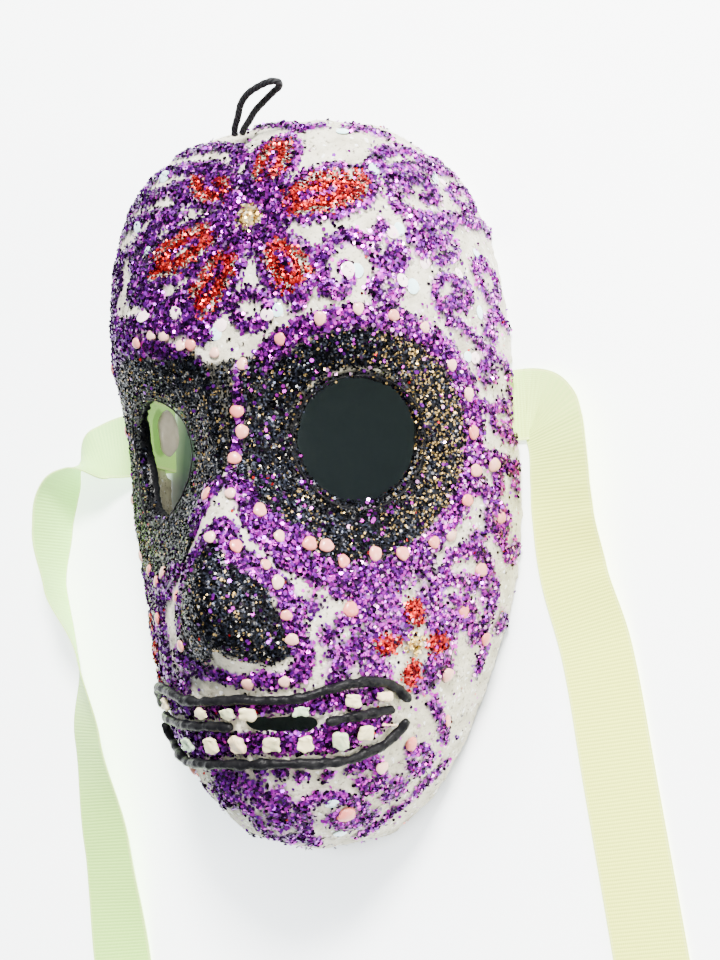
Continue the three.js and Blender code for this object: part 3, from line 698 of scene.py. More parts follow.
# %% The drawn lines
CURLS = [
    (3.8, [
        (51, 72, 46), (48, 73, 49), (46, 75, 51), (45, 78, 51), (45, 81, 50), (46, 84, 46),
        (49, 85, 41), (50, 85, 36),
    ]),
    (3.4, [(50, 85, 36), (52, 83, 34), (52, 79, 38), (51, 79, 41)]),
    (3.0, [
        (52, 85, 26), (52, 88, 17), (51, 90, 7), (53, 86, 7), (55, 81, 17), (54, 81, 24),
        (53, 84, 27),
    ]),
    (3.8, [
        (51, 72, 46), (53, 72, 41), (54, 73, 35), (56, 75, 28), (56, 77, 18), (56, 78, 8),
        (57, 77, 2),
    ]),
    (3.6, [(39, 90, 50), (42, 95, 43), (44, 95, 38), (46, 94, 34), (48, 94, 28), (48, 96, 20)]),
    (3.2, [
        (38, 86, 54), (40, 88, 51), (43, 85, 50), (45, 87, 46), (48, 90, 36), (49, 90, 32),
        (49, 93, 21), (49, 94, 11),
    ]),
    (3.6, [(49, 70, 48), (50, 65, 49)]),
    (3.4, [
        (52, 71, 42), (52, 65, 45), (51, 61, 47), (52, 62, 44), (54, 66, 40), (56, 67, 34),
        (56, 64, 32), (56, 61, 36), (54, 59, 41),
    ]),
    (3.6, [
        (57, 52, 34), (56, 48, 37), (58, 48, 32), (59, 51, 29), (58, 54, 29), (57, 55, 34),
        (55, 55, 40), (53, 52, 43), (53, 49, 43), (55, 46, 40),
    ]),
    (3.2, [
        (55, 46, 40), (56, 43, 38), (58, 41, 33), (59, 39, 28), (60, 37, 23), (62, 35, 16),
        (62, 34, 10), (63, 30, 4),
    ]),
    (3.6, [
        (59, 60, 22), (60, 56, 21), (60, 53, 17), (61, 57, 8), (60, 61, 10), (59, 64, 15),
        (58, 61, 24),
    ]),
    (3.4, [(61, 54, 15), (61, 49, 12), (61, 46, 19), (61, 42, 16), (60, 42, 21)]),
    (3.0, [(61, 46, 16), (62, 48, 11), (62, 46, 4)]),
    (3.0, [(60, 30, 25), (61, 32, 18), (61, 29, 17), (60, 26, 23)]),
    (3.2, [
        (59, 20, 25), (61, 19, 18), (62, 21, 13), (63, 18, 9), (62, 13, 15), (61, 15, 19),
        (61, 19, 18),
    ]),
    (3.4, [(61, 13, 17), (63, 12, 10), (63, 11, 5)]),
    (4.2, [(58, 5, 25), (61, 4, 18), (62, 3, 12), (63, 3, 5)]),
    (4.2, [(61, 0, 17), (61, -4, 16), (60, -7, 20), (58, -5, 24)]),
    (3.8, [(59, -11, 22), (60, -10, 17), (62, -12, 13), (61, -16, 12), (60, -17, 16), (59, -14, 21)]),
    (3.6, [(60, -19, 16), (60, -21, 13), (61, -24, 10)]),
    (3.6, [
        (50, -25, 32), (54, -23, 28), (57, -24, 22), (58, -26, 19), (57, -31, 19), (54, -32, 24),
        (49, -30, 33), (50, -27, 33),
    ]),
    (4.2, [(58, -33, 14), (56, -39, 14), (55, -43, 15), (54, -47, 15), (53, -52, 13), (51, -57, 13)]),
    (3.2, [(50, -37, 30), (53, -39, 23), (53, -41, 22), (52, -44, 25), (50, -41, 30)]),
    (3.8, [
        (43, 68, 56), (42, 64, 58), (41, 61, 60), (44, 57, 58), (46, 61, 55), (48, 60, 52),
        (48, 57, 53), (46, 55, 56),
    ]),
    (3.8, [(46, 55, 56), (43, 52, 59), (42, 49, 60), (45, 46, 58), (46, 48, 55), (47, 51, 54)]),
    (3.6, [(43, -66, 30), (43, -70, 26), (42, -77, 18)]),
    (3.4, [(36, -80, 32), (38, -80, 25), (37, -84, 21), (35, -86, 25), (35, -83, 30)]),
    (3.6, [(38, -85, 10), (36, -88, 14), (31, -94, 21), (22, -101, 25), (18, -104, 27)]),
]
FREE_LINES = [
    (3.8, [
        (41, 61, 60), (38, 64, 61), (32, 63, 65), (30, 59, 66), (30, 52, 68), (33, 48, 67),
        (36, 50, 65), (35, 55, 65),
    ]),
    (4.0, [(0, 107, 46), (8, 106, 47), (17, 102, 52), (22, 103, 49)]),
    (3.8, [(30, 102, 47), (36, 101, 43), (39, 100, 38)]),
    (3.8, [
        (-25, 102, 49), (-16, 101, 53), (-9, 100, 55), (-1, 97, 58), (1, 91, 61), (-4, 89, 62),
        (-13, 93, 60),
    ]),
    (3.8, [(-40, 92, 46), (-34, 94, 52), (-26, 95, 56), (-17, 94, 59)]),
    (3.8, [(-46, 86, 46), (-40, 88, 52), (-32, 87, 58), (-26, 87, 61), (-19, 87, 62), (-16, 82, 64)]),
    (3.2, [(-46, 80, 50), (-38, 80, 57), (-29, 80, 62), (-19, 79, 65)]),
    (3.0, [(-33, 72, 62), (-24, 76, 65), (-16, 77, 66)]),
    (3.6, [(-48, 68, 52), (-43, 69, 57), (-35, 71, 62), (-26, 71, 65)]),
    (3.8, [(-47, 75, 50), (-48, 68, 50), (-47, 60, 54), (-44, 52, 58), (-43, 45, 60)]),
    (3.8, [(-33, 66, 64), (-30, 60, 66), (-26, 63, 67)]),
    (5.0, [(-33, 57, 66), (-25, 53, 69), (-19, 49, 70), (-14, 51, 70), (-11, 46, 71)]),
    (3.6, [(3, 48, 70), (8, 50, 70), (14, 47, 71), (13, 42, 70), (7, 41, 70), (4, 45, 70)]),
    (3.6, [(22, 44, 69), (26, 50, 69), (30, 52, 68)]),
    (1.7, [(4, 30, 70), (4, 21, 70), (4, 14, 70), (3, 7, 70), (1, 0, 71), (1, -3, 73)]),
    (4.6, [(1, -3, 73), (5, -7, 73), (9, -11, 71), (15, -17, 68), (20, -20, 64)]),
    (4.0, [(1, -3, 73), (-4, -6, 73), (-7, -9, 72), (-10, -13, 70)]),
    (5.4, [
        (2, -16, 78), (7, -24, 79), (12, -28, 75), (16, -33, 71), (18, -41, 69), (19, -47, 68),
        (20, -53, 65), (16, -57, 65),
    ]),
    (4.4, [(2, -16, 78), (-1, -18, 80), (-5, -22, 80), (-9, -26, 77), (-14, -34, 73), (-17, -42, 71)]),
    (4.6, [(-19, -50, 65), (-14, -54, 69), (-8, -56, 72), (1, -58, 71), (10, -58, 68), (16, -57, 65)]),
    (3.4, [(27, -35, 60), (30, -34, 57), (32, -36, 55), (33, -40, 54), (30, -43, 57), (28, -42, 60)]),
    (3.0, [(18, -96, 45), (16, -99, 43), (17, -100, 38), (20, -100, 34), (23, -95, 37)]),
    (4.0, [
        (23, -95, 37), (22, -92, 44), (17, -91, 50), (12, -93, 52), (9, -97, 49), (7, -102, 41),
        (6, -106, 34),
    ]),
    (3.6, [(27, -83, 46), (29, -81, 45), (30, -86, 39), (27, -90, 40), (26, -88, 44)]),
    (4.2, [(-22, -78, 53), (-15, -83, 57), (-10, -90, 54), (-5, -96, 52), (-4, -103, 42)]),
    (3.6, [(-44, 45, 58), (-36, 47, 64), (-28, 46, 69), (-20, 44, 70), (-12, 42, 70), (-6, 40, 70)]),
    (3.6, [(-20, -26, 66), (-22, -32, 64), (-29, -34, 58), (-28, -46, 59), (-26, -52, 61)]),
]
# Round patches of glitter: place, radius.
BLOBS = [
    ((61, 43, 18), 3.6), ((-61, 43, 18), 3.6), ((47, 80, 46), 2.0), ((-1, -89, 57), 4.4),
    ((4, -92, 55), 5.0), ((4, -98, 50), 4.6), ((2, -104, 42), 4.4), ((31, -91, 31), 4.8),
    ((-31, -91, 31), 4.8), ((29, -30, 58), 4.2), ((34, -31, 52), 5.2), ((37, -37, 49), 5.4),
    ((36, -44, 51), 5.2), ((33, -49, 54), 5.2), ((39, -44, 46), 5.2), ((46, -37, 37), 5.2),
    ((47, -43, 33), 5.2), ((48, -49, 31), 4.6), ((46, -55, 31), 5.0), ((42, -59, 35), 5.0),
    ((28, -52, 58), 4.6), ((34, -57, 50), 5.0), ((45, -26, 40), 4.8), ((40, -29, 45), 5.0),
    ((48, -32, 35), 3.8), ((26, -57, 58), 3.6), ((25, -46, 61), 3.4), ((22, -38, 65), 3.2),
    ((-30, -34, 57), 5.4), ((-36, -40, 50), 5.4), ((-28, -46, 59), 4.8), ((-34, -52, 52), 5.0),
    ((-42, -44, 42), 5.2), ((-44, -34, 40), 5.2), ((-46, -50, 32), 4.8), ((-40, -58, 38), 4.6),
    ((-26, -56, 60), 4.4), ((-20, -58, 64), 3.6), ((13, -45, 71), 2.6), ((24, -30, 62), 3.4),
    ((52, -34, 24), 3.0), ((62, 24, 6), 3.2), ((62, -2, 6), 3.4), ((60, -22, 6), 3.4),
    ((57, -44, 6), 3.6), ((60, 34, 20), 3.0), ((56, -20, 24), 3.2), ((57, -36, 18), 3.4),
    ((53, -47, 20), 3.4), ((10, -98, 49), 3.0), ((-8, -86, 58), 4.0), ((-14, -90, 52), 4.6),
    ((24, -100, 32), 3.4), ((55, 66, 38), 3.0),
]
DOTS = [
    (-11, -80, 58), (-4, -82, 59), (2, -83, 59), (8, -84, 58), (13, -84, 56), (19, -85, 52),
    (25, -83, 48), (29, -80, 45),
]
FOREHEAD = (7.5, 73)  # middle of the flower
PETALS = [
    ((9.2, 79), (14.5, 98.5), 9), ((14, 74.5), (41, 80.5), 10.5), ((12, 67), (26, 48), 9),
    ((4.4, 66.6), (-10.5, 44), 9), ((0.6, 71.8), (-28, 60.5), 9.5), ((3.6, 78), (-15.5, 91.5), 8.5),
]


def on_skin(x, y, z=None):
    """The nearest place on the outer skin to a point in millimetres; without z, straight above x, y."""
    if z is None:
        return skin_tree.ray_cast(at(x, y, 120), Vector((0, 0, -1)))[0]
    return skin_tree.find_nearest(at(x, y, z))[0]


def leaf(base, tip, width, share):
    """The outline of one petal on the skin, its width times share."""
    base, tip = Vector(base), Vector(tip)
    go = tip - base
    aside = Vector((-go.y, go.x)).normalized()
    outline = []
    for i in range(17):
        turn = 2 * math.pi * i / 16
        along = 0.5 - 0.5 * math.cos(turn)
        half = width / 2 * share * math.sin(turn) * (0.75 + 0.35 * along)
        spot = base + go * along + aside * half
        outline.append(on_skin(spot.x, spot.y))
    return outline


FULLER = 1.1  # the flakes spread a line a little
BROW_FULLER = 1.4  # the lines of the left brow lie thick and close
PETAL_OUTLINE, PETAL_VEIN = 2.6, 1.7  # widths
drawn = []
for width, points in CURLS:
    drawn.append((FULLER * width, [on_skin(*p) for p in points]))
    drawn.append((FULLER * width, [on_skin(-x, y, z) for x, y, z in points]))
for width, points in FREE_LINES:
    left_brow = points[0][0] < -15 and points[0][1] > 40
    drawn.append(((BROW_FULLER if left_brow else FULLER) * width, [on_skin(*p) for p in points]))
for base, tip, width in PETALS:
    drawn.append((PETAL_OUTLINE, leaf(base, tip, width, 1.62)))
    vein = [Vector(base).lerp(Vector(tip), s) for s in (0.34, 0.48, 0.64)]
    drawn.append((PETAL_VEIN, [on_skin(*v) for v in vein]))
print(len(drawn), "glue lines")

# %% [markdown]
# A corner of the skin is glittered if it is close enough to a line, a round patch or a dot. The
# result is a number from 0 to 1 at every corner. Wavering the width a little, with slow waves
# over the skin, keeps the edges from looking ruled.

# %% Lay the glue on the skin
rng = np.random.default_rng(757)
mark = np.flatnonzero(outer)
mark_co = skin_co[mark]
waver = 0.45 * np.sin(mark_co @ (900.0, 300.0, 500.0)) + 0.35 * np.sin(mark_co @ (-700.0, 1300.0, 200.0))


def soft_step(distance, half_width, edge=0.7):
    """1 inside half_width millimetres, falling to 0 over the edge."""
    return np.clip((half_width + waver * 0.7 - distance * 1000) / edge + 0.5, 0, 1)


def distance_to_line(points):
    """How far each corner of the skin is from a line of straight pieces."""
    least = np.full(len(mark_co), 1.0)
    for a, b in zip(points[:-1], points[1:]):
        a, b = np.array(a), np.array(b)
        go = b - a
        share = np.clip((mark_co - a) @ go / max(go @ go, 1e-12), 0, 1)
        least = np.minimum(least, np.linalg.norm(mark_co - a - share[:, None] * go, axis=1))
    return least


glue = np.zeros(len(mark_co))
ridge = np.zeros(len(mark_co))
for width, points in drawn:
    smooth = smooth_line([list(p) for p in points], np.linspace(0, 1, 6 * len(points)))[0]
    far = distance_to_line(smooth)
    glue = np.maximum(glue, soft_step(far, width / 2))
    ridge = np.maximum(ridge, np.clip(1 - (far * 1000 / (width / 2 + 0.6)) ** 2, 0, 1))
for place, radius in BLOBS:
    far = np.linalg.norm(mark_co - np.array(on_skin(*place)), axis=1)
    glue = np.maximum(glue, soft_step(far, radius, 2.5) * 0.95)
    ridge = np.maximum(ridge, 0.35 * soft_step(far, radius, 3))
DOT_RADIUS = 2.0
for place in DOTS:
    far = np.linalg.norm(mark_co - np.array(on_skin(*place)), axis=1)
    glue = np.maximum(glue, soft_step(far, DOT_RADIUS))
    ridge = np.maximum(ridge, 0.6 * soft_step(far, DOT_RADIUS))
print("glitter covers", round(100 * float(glue.mean())), "% of the skin by its lines")

# %% [markdown]
# ## Which glitter goes where
# Four glitters share the face: purple on the lines and bands, fine black round the eyes and on the
# nose, red in the petals and gold in the flowers' hearts. The bands turn black between the eyes and
# down the left side of the face. Purple lines run over the other colours, so their share is taken
# off the rest, except on the cheek petals, which lie on top.

# %% Shares of each glitter at every corner of the skin


def share_under(*parts):
    """1 at each corner that lies under any flat node whose name holds one of these words."""
    found = np.zeros(len(skin_co), bool)
    for node, covered in under.items():
        if any(part in node for part in parts):
            found |= covered
    return found[mark].astype(float)


def in_petals(share):
    """1 inside the leaf shapes of the forehead flower, their widths times share."""
    inside = np.zeros(len(mark_co))
    spots_2d = level[:, :2]
    for base, tip, width in PETALS:
        base, go = np.array(base), np.array(tip) - np.array(base)
        along = (spots_2d - base) @ go / (go @ go)
        aside = np.abs((spots_2d - base) @ np.array([-go[1], go[0]])) / np.linalg.norm(go)
        half = width / 2 * share * 2 * np.sqrt(np.clip(along * (1 - along), 0, 1)) * (0.75 + 0.35 * along)
        inside = np.maximum(inside, np.clip((half - aside) / 0.6 + 0.5, 0, 1) * (along > 0) * (along < 1))
    return inside * (level[:, 2] > 30)  # the brow only, not the back of the head


def near_eye_hole(points, reach):
    """1 on the walls and lip of the eye holes, falling to 0 just past their edge."""
    return np.clip((reach - from_eyes(points)) / 0.0008 + 0.5, 0, 1)


level = (mark_co - np.array(MIDDLE)) * 1000
heart = np.linalg.norm(mark_co - np.array(on_skin(*FOREHEAD)), axis=1) * 1000
glue = np.maximum(glue, np.clip((14 - heart) / 4, 0, 1) * (heart > 3.6))
glue = glue * (1 - 0.85 * share_under("_cheek_petal_"))
petals = np.maximum(share_under("_petal_"), in_petals(1.5))
hearts = share_under("_centre")
blacked = share_under("_patch")
banded = share_under("_eye_band", "_teeth_band")
x_mm, y_mm, z_mm = level.T
between_eyes = (np.abs(x_mm) < 11) & (y_mm > -3) & (y_mm < 31)
left_of_face = (x_mm < -9) & (y_mm > -25) & (y_mm < 35)
left_side = (x_mm < -38) & (y_mm > -22) & (y_mm < 31) & (z_mm > 20)
blacked = np.maximum(blacked, banded * (between_eyes | left_of_face))
blacked = np.maximum(blacked, ((between_eyes & (y_mm > 0)) | left_side).astype(float))
lip = near_eye_hole(mark_co, 0.0214) * (z_mm > 4)
blacked = np.maximum(blacked, lip)
lines = glue * (1 - 0.97 * left_side) * (1 - lip)
purple = np.clip(np.maximum(lines, banded * (1 - blacked)), 0, 1)
black = blacked * (1 - purple)
red = petals * (1 - glue)
plate = np.maximum.reduce([petals, hearts, blacked * 0.6, banded])
height = np.maximum(ridge * 0.9, plate * 0.85) * MM


def whole(values):
    """The values of the outer corners, with 0 at every other corner of the shell."""
    everywhere = np.zeros(len(skin_co))
    everywhere[mark] = values
    return everywhere


shares = {"purple": purple, "black": black, "red": red, "gold": hearts}
print({colour: int(share.sum()) for colour, share in shares.items()})

# %% [markdown]
# ## Glitter plates
# Each raised CAD plate becomes a thin crust that follows the smooth skin: the skin's faces under the
# plate are kept, pushed out, given a thickness, rounded and roughened. The crust shows between the
# flakes that are strewn on it, so its material has flake-sized cells of the same colours.

# %% Glitter colours
PLUM = [
    (0.0, (0.008, 0.001, 0.012)), (0.24, (0.045, 0.001, 0.075)), (0.44, (0.14, 0.003, 0.26)),
    (0.64, (0.34, 0.004, 0.40)), (0.84, (0.60, 0.010, 0.56)), (0.97, (0.85, 0.36, 0.80)),
]
SOOT = [
    (0.0, (0.001, 0.001, 0.002)), (0.60, (0.007, 0.009, 0.017)), (0.81, (0.030, 0.034, 0.050)),
    (0.92, (0.13, 0.13, 0.14)), (0.96, (0.42, 0.28, 0.10)), (0.990, (0.65, 0.62, 0.56)),
]
CORAL = [
    (0.0, (0.07, 0.001, 0.004)), (0.2, (0.28, 0.004, 0.008)), (0.5, (0.50, 0.012, 0.012)),
    (0.84, (0.70, 0.035, 0.022)), (0.98, (0.85, 0.30, 0.24)),
]
GILT = [
    (0.0, (0.30, 0.16, 0.03)), (0.25, (0.75, 0.5, 0.14)), (0.6, (0.9, 0.72, 0.36)),
    (0.85, (0.95, 0.88, 0.66)),
]


def crust(name, palette, size):
    """A glitter crust of coloured cells, purple or black where those glitters go over it."""
    made = Finish(name, metallic=0.85, roughness=0.38)
    chance = made.channel(made.cells(size, "Color"))
    own = made.ramp(chance, palette, steps=True)
    purpled = made.mix(made.attribute("glue"), own, made.ramp(chance, PLUM, steps=True))
    made.set(base_color=made.mix(made.attribute("black"), purpled, made.ramp(chance, SOOT, steps=True)))
    made.set(roughness=0.3 + chance * 0.25)
    made.bump(chance * 0.7 + made.cells(size * 1.7) * 0.3, 0.0004)
    return made.material


def flakes(name, palette):
    """Loose glitter: each flake carries its own number, which picks its colour."""
    made = Finish(name, metallic=0.9, roughness=0.28)
    shade = made.attribute("shade")
    made.set(base_color=made.ramp(shade, palette, steps=True))
    made.set(roughness=0.2 + shade * 0.15)
    return made.material


crusts = {
    "purple": crust("purple_crust", PLUM, 0.0010),
    "black": crust("black_crust", SOOT, 0.0007),
    "red": crust("red_crust", CORAL, 0.0008),
    "gold": crust("gold_crust", GILT, 0.0009),
}
loose = {
    "purple": flakes("purple_flakes", PLUM),
    "black": flakes("black_flakes", SOOT),
    "red": flakes("red_flakes", CORAL),
    "gold": flakes("gold_flakes", GILT),
}
SLOTS = {"purple": "purple_glitter", "black": "black_glitter", "red": "red_glitter", "gold": "gold_glitter"}
print(len(crusts), "crusts and", len(loose), "loose glitters")

# %% Make the plates
crust_grain = lumps("crust_grain", 0.0018)


def colour_of(node):
    if node.endswith("_patch"):
        return "black"
    if "_petal_" in node:
        return "red"
    if node.endswith("_centre"):
        return "gold"
    return "purple"


def keep_values(piece, name, values):
    """Keep one number at each corner, for the material to read."""
    kept = piece.data.attributes.new(name, "FLOAT", "POINT")
    kept.data.foreach_set("value", np.asarray(values, np.float32))


over_glue, over_black = whole(purple), whole(black)


def make_plate(node):
    """A crust over the skin's faces that lie under this CAD plate."""
    colour = colour_of(node)
    top = (0.55 if colour == "black" else 0.85) * MM
    covered = under[node]
    faces = [tuple(p.vertices) for p in shell.data.polygons if all(covered[i] for i in p.vertices)]
    used = sorted({i for face in faces for i in face})
    index = {old: new for new, old in enumerate(used)}
    corners = skin_co[used] + skin_normal[used] * top
    piece = new_piece(f"{node}_crust", corners, [tuple(index[i] for i in face) for face in faces])
    keep_values(piece, "glue", over_glue[used])
    keep_values(piece, "black", over_black[used])
    modify(
        piece,
        ("SOLIDIFY", {"thickness": top + 0.25 * MM, "offset": -1.0}),
        ("SUBSURF", {"levels": 1, "render_levels": 1}),
        ("DISPLACE", {"texture": crust_grain, "strength": 0.0005, "mid_level": 0.5}),
    )
    smooth_shade(piece, 60)
    return finish_piece(piece, crusts[colour], SLOTS[colour], node)


plates = [make_plate(node) for node in FLAT_NODES]
print(len(plates), "plates,", sum(len(p.data.polygons) for p in plates), "faces")

# %% [markdown]
# ## The shell's surface
# The corners under a glue line move outwards to make its ridge. Two Displace passes follow: broad
# lumps of layered paper, then fibres. The colour comes from the pulp's own noise and two attributes
# kept on the corners: how much purple glue and how much black paint there is.

# %% Shape and paint the shell
black_paint = near_eye_hole(skin_co, 0.0212) * (skin_co[:, 2] > 0.004)
move_corners(shell, skin_co + skin_normal * whole(ridge * 0.85 * MM)[:, None])
modify(
    shell,
    ("DISPLACE", {"texture": lumps("paper_lumps", 0.007), "strength": 0.0012, "mid_level": 0.5}),
    ("DISPLACE", {"texture": lumps("paper_fibres", 0.0017), "strength": 0.0006, "mid_level": 0.5}),
)
keep_values(shell, "glue", over_glue)
keep_values(shell, "black", np.maximum(black_paint, over_black * 0.9))
smooth_shade(shell, 80)

pulp = Finish("paper_pulp", roughness=0.8, specular_ior_level=0.2)
where = pulp.place()
lumpy = pulp.noise(0.006, where)
fibre = pulp.noise(0.0011, where, detail=5)
cream = pulp.ramp(lumpy, [(0.3, (0.38, 0.355, 0.27)), (0.5, (0.55, 0.52, 0.41)), (0.7, (0.64, 0.61, 0.51))])
speckled = pulp.mix(pulp.ramp(fibre, [(0.33, (1, 1, 1)), (0.42, (0, 0, 0))]), cream, (0.24, 0.22, 0.17, 1))
shine = pulp.channel(pulp.cells(0.0009, "Color")) > 0.965
glinting = pulp.mix(shine * 0.7, speckled, (0.92, 0.94, 0.96, 1))
dark_glue = pulp.ramp(pulp.channel(pulp.cells(0.0010, "Color")), PLUM, steps=True)
glued = pulp.mix(pulp.attribute("glue"), glinting, dark_glue)
painted = pulp.mix(pulp.attribute("black"), glued, (0.003, 0.003, 0.004, 1))
pulp.set(base_color=painted)
pulp.set(roughness=0.78 - pulp.attribute("black") * 0.45 - pulp.attribute("glue") * 0.3)
pulp.bump(fibre * 0.6 + lumpy * 0.4, 0.0006)
finish_piece(shell, pulp.material, "papier_mache", "mask_shell")
print("shell", [round(1000 * v, 1) for v in shell.dimensions], "mm")

# %% [markdown]
# ## Strewing the flakes
# One hexagon is the model for every flake. Each copy lands on a random place of the skin, chosen by
# how much of that glitter is there, lifts off by up to its own size and leans at random, so a few of
# them catch the light at every angle. Tens of thousands of copies are laid out as arrays in one go,
# because an operator call for each would take minutes.

# %% Strew flakes
UV_CELLS = 8
top_mesh = shell.data.copy()
top_piece = bpy.data.objects.new("top", top_mesh)
move_corners(top_piece, skin_co + skin_normal * whole(height)[:, None])
top_co, top_normal = corners_of(top_piece), normals_of(top_piece)
quads = np.array([tuple(p.vertices) for p in top_mesh.polygons if len(p.vertices) == 4])
bpy.data.objects.remove(top_piece)
diagonal = np.cross(top_co[quads[:, 2]] - top_co[quads[:, 0]], top_co[quads[:, 3]] - top_co[quads[:, 1]])
quad_area = np.linalg.norm(diagonal, axis=1) / 2


def spread(density, per_square_mm):
    """Random places on the skin, with per_square_mm flakes where density is 1: place and normal."""
    weight = quad_area * density[quads].mean(axis=1)
    count = int(weight.sum() * 1e6 * per_square_mm)
    chosen = rng.choice(len(quads), size=count, p=weight / weight.sum())
    u, v = rng.random((2, count, 1))
    shares = [(1 - u) * (1 - v), u * (1 - v), u * v, (1 - u) * v]
    place = sum(s * top_co[quads[chosen, k]] for k, s in enumerate(shares))
    normal = sum(s * top_normal[quads[chosen, k]] for k, s in enumerate(shares))
    return place, normal / np.linalg.norm(normal, axis=1)[:, None]


def flake_mesh(name, place, normal, size, shade, palette, lean=0.42):
    """All flakes of one piece: hexagons of about this size, leaning off the surface."""
    count = len(place)
    tilted = normal + rng.normal(0, lean, (count, 3))
    tilted /= np.linalg.norm(tilted, axis=1)[:, None]
    aside = np.cross(tilted, rng.normal(0, 1, (count, 3)))
    aside /= np.linalg.norm(aside, axis=1)[:, None]
    other = np.cross(tilted, aside)
    radius = size / 2 * rng.uniform(0.8, 1.12, count)
    lift = rng.uniform(0.1, 0.55, count) * size
    turns = np.arange(6) * math.pi / 3
    corners = (place + normal * lift[:, None])[:, None] + (
        aside[:, None] * np.cos(turns)[None, :, None] + other[:, None] * np.sin(turns)[None, :, None]
    ) * radius[:, None, None]
    corners[:, :, 2] = np.maximum(corners[:, :, 2], 0.0004)
    mesh = bpy.data.meshes.new(name)
    mesh.vertices.add(6 * count)
    mesh.vertices.foreach_set("co", corners.astype(np.float32).ravel())
    mesh.loops.add(6 * count)
    mesh.loops.foreach_set("vertex_index", np.arange(6 * count, dtype=np.int32))
    mesh.polygons.add(count)
    mesh.polygons.foreach_set("loop_start", np.arange(0, 6 * count, 6, dtype=np.int32))
    mesh.update(calc_edges=True)
    steps = np.searchsorted([stop for stop, _ in palette], shade, side="right") - 1
    cell = np.stack([(steps % UV_CELLS + 0.5) / UV_CELLS, np.full(count, 0.5)], axis=1)
    ring = np.stack([np.cos(turns), np.sin(turns)], axis=1) * 0.3 / UV_CELLS
    layer = mesh.uv_layers.new(name="OFBake")
    layer.data.foreach_set("uv", (cell[:, None] + ring[None]).astype(np.float32).ravel())
    piece = bpy.data.objects.new(name, mesh)
    bpy.context.scene.collection.objects.link(piece)
    keep_values(piece, "shade", np.repeat(shade, 6))
    return piece


# How many flakes lie on a square millimetre, how wide they are, and their colours.
FLAKES = {
    "purple": (1.9, 0.00118, PLUM),
    "black": (3.0, 0.00075, SOOT),
    "red": (2.8, 0.0009, CORAL),
    "gold": (2.6, 0.0011, GILT),
}


def strew(name, colour, density, shading=None):
    """One piece of loose glitter, laid where the density at the skin's corners says."""
    per_square_mm, size, palette = FLAKES[colour]
    place, normal = spread(whole(density), per_square_mm)
    shade = rng.random(len(place))
    if shading is not None:
        shade = shading(place, shade)
    piece = flake_mesh(name, place, normal, size, shade, palette)
    finish_piece(piece, loose[colour], SLOTS[colour])
    print(name, len(place), "flakes")
    return piece


def lit_right_shaded_left(place, shade):
    """Painted light and shade: flakes pinker and brighter to the right of the face, darker to the left."""
    x = (place[:, 0] - MIDDLE.x) * 1000
    return np.clip(shade * (0.86 + 0.26 * np.clip((x - 5) / 40, -0.7, 1)), 0, 1)


def golden_side(place, shade):
    """Gold flecks among the black, most of them on the outer side of the right eye."""
    x, y = (place[:, 0] - MIDDLE.x) * 1000, (place[:, 1] - MIDDLE.y) * 1000
    chance = np.clip((x - 36) / 14, 0, 1) * np.clip((y + 30) / 20, 0, 1) * 0.30 + 0.015
    return np.where(rng.random(len(shade)) < chance, 0.97, shade)


BROW_LEVEL, NOSE_LEVEL = 22, -30
STRAY_RED = 0.0015
stray = np.clip((z_mm - 2) / 10, 0, 1) * 0.03 + 0.03 * blacked * (x_mm > 0)
brow = y_mm > BROW_LEVEL
nose = y_mm <= NOSE_LEVEL
# Both purple pieces carry painted light and shade: brighter and pinker to the right, darker to the left.
brow_glitter = strew("purple_glitter_brow", "purple", (purple + stray) * brow, lit_right_shaded_left)
chin_glitter = strew("purple_glitter_cheeks", "purple", (purple + stray) * ~brow, lit_right_shaded_left)
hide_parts(*[n for n in nodes if n.endswith(("temple_scroll", "brow_scroll"))])
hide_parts("chin_scroll")
strew("black_glitter_eyes", "black", black * ~nose, golden_side)
strew("black_glitter_nose", "black", black * nose, golden_side)
strew("red_glitter", "red", red + STRAY_RED)
strew("gold_glitter", "gold", hearts)

# %% [markdown]
# ## Pearls, teeth and sequins
# Flat pearls sit in the borders, soft blobs of cream, mint and peach paint stand for the teeth, and
# thin iridescent sequins dot the bare pulp. A pearl is a flattened ball with a slightly wavy
# outline, made once and copied to each place, turned to lie on the skin.

# %% Make one pearl
bpy.ops.object.select_all(action="DESELECT")
bpy.ops.mesh.primitive_uv_sphere_add(segments=16, ring_count=9, radius=1)
pearl_model = bpy.context.object
pearl_model.name = "pearl_model"
model_co = corners_of(pearl_model)
model_faces = [tuple(p.vertices) for p in pearl_model.data.polygons]
bpy.data.objects.remove(pearl_model)


def set_gems(name, places, radius, flatness, material, shades=None, uneven=0.06):
    """Copies of the pearl at each place in millimetres, in one piece."""
    corners, faces, shade = [], [], []
    for i, place in enumerate(places):
        middle = on_skin(*place)
        nearest = int(np.argmin(np.linalg.norm(top_co - np.array(middle), axis=1)))
        normal = top_normal[nearest]
        aside = np.cross(normal, (0.2, 0.9, 0.1))
        aside /= np.linalg.norm(aside)
        other = np.cross(normal, aside)
        size = radius * rng.uniform(0.88, 1.12)
        stretch = rng.uniform(0.9, 1.1)
        turn = np.arctan2(model_co[:, 1], model_co[:, 0])
        wavy = 1 + uneven * np.sin(3 * turn + i) + uneven * 0.6 * np.sin(5 * turn + 2 * i)
        squash = np.stack([wavy * stretch, wavy / stretch, np.full(len(turn), flatness)], axis=1)
        flat = model_co * squash * size
        base = top_co[nearest] + normal * (0.35 * flatness * size + 0.0002)
        start = len(corners) * len(model_co)
        corners.append(base + flat[:, :1] * aside + flat[:, 1:2] * other + flat[:, 2:] * normal)
        faces += [tuple(start + k for k in face) for face in model_faces]
        shade += [shades[i] if shades else rng.random()] * len(model_co)
    piece = new_piece(name, np.vstack(corners), faces)
    keep_values(piece, "shade", shade)
    smooth_shade(piece, 60)
    return finish_piece(piece, material, "gem_paint")


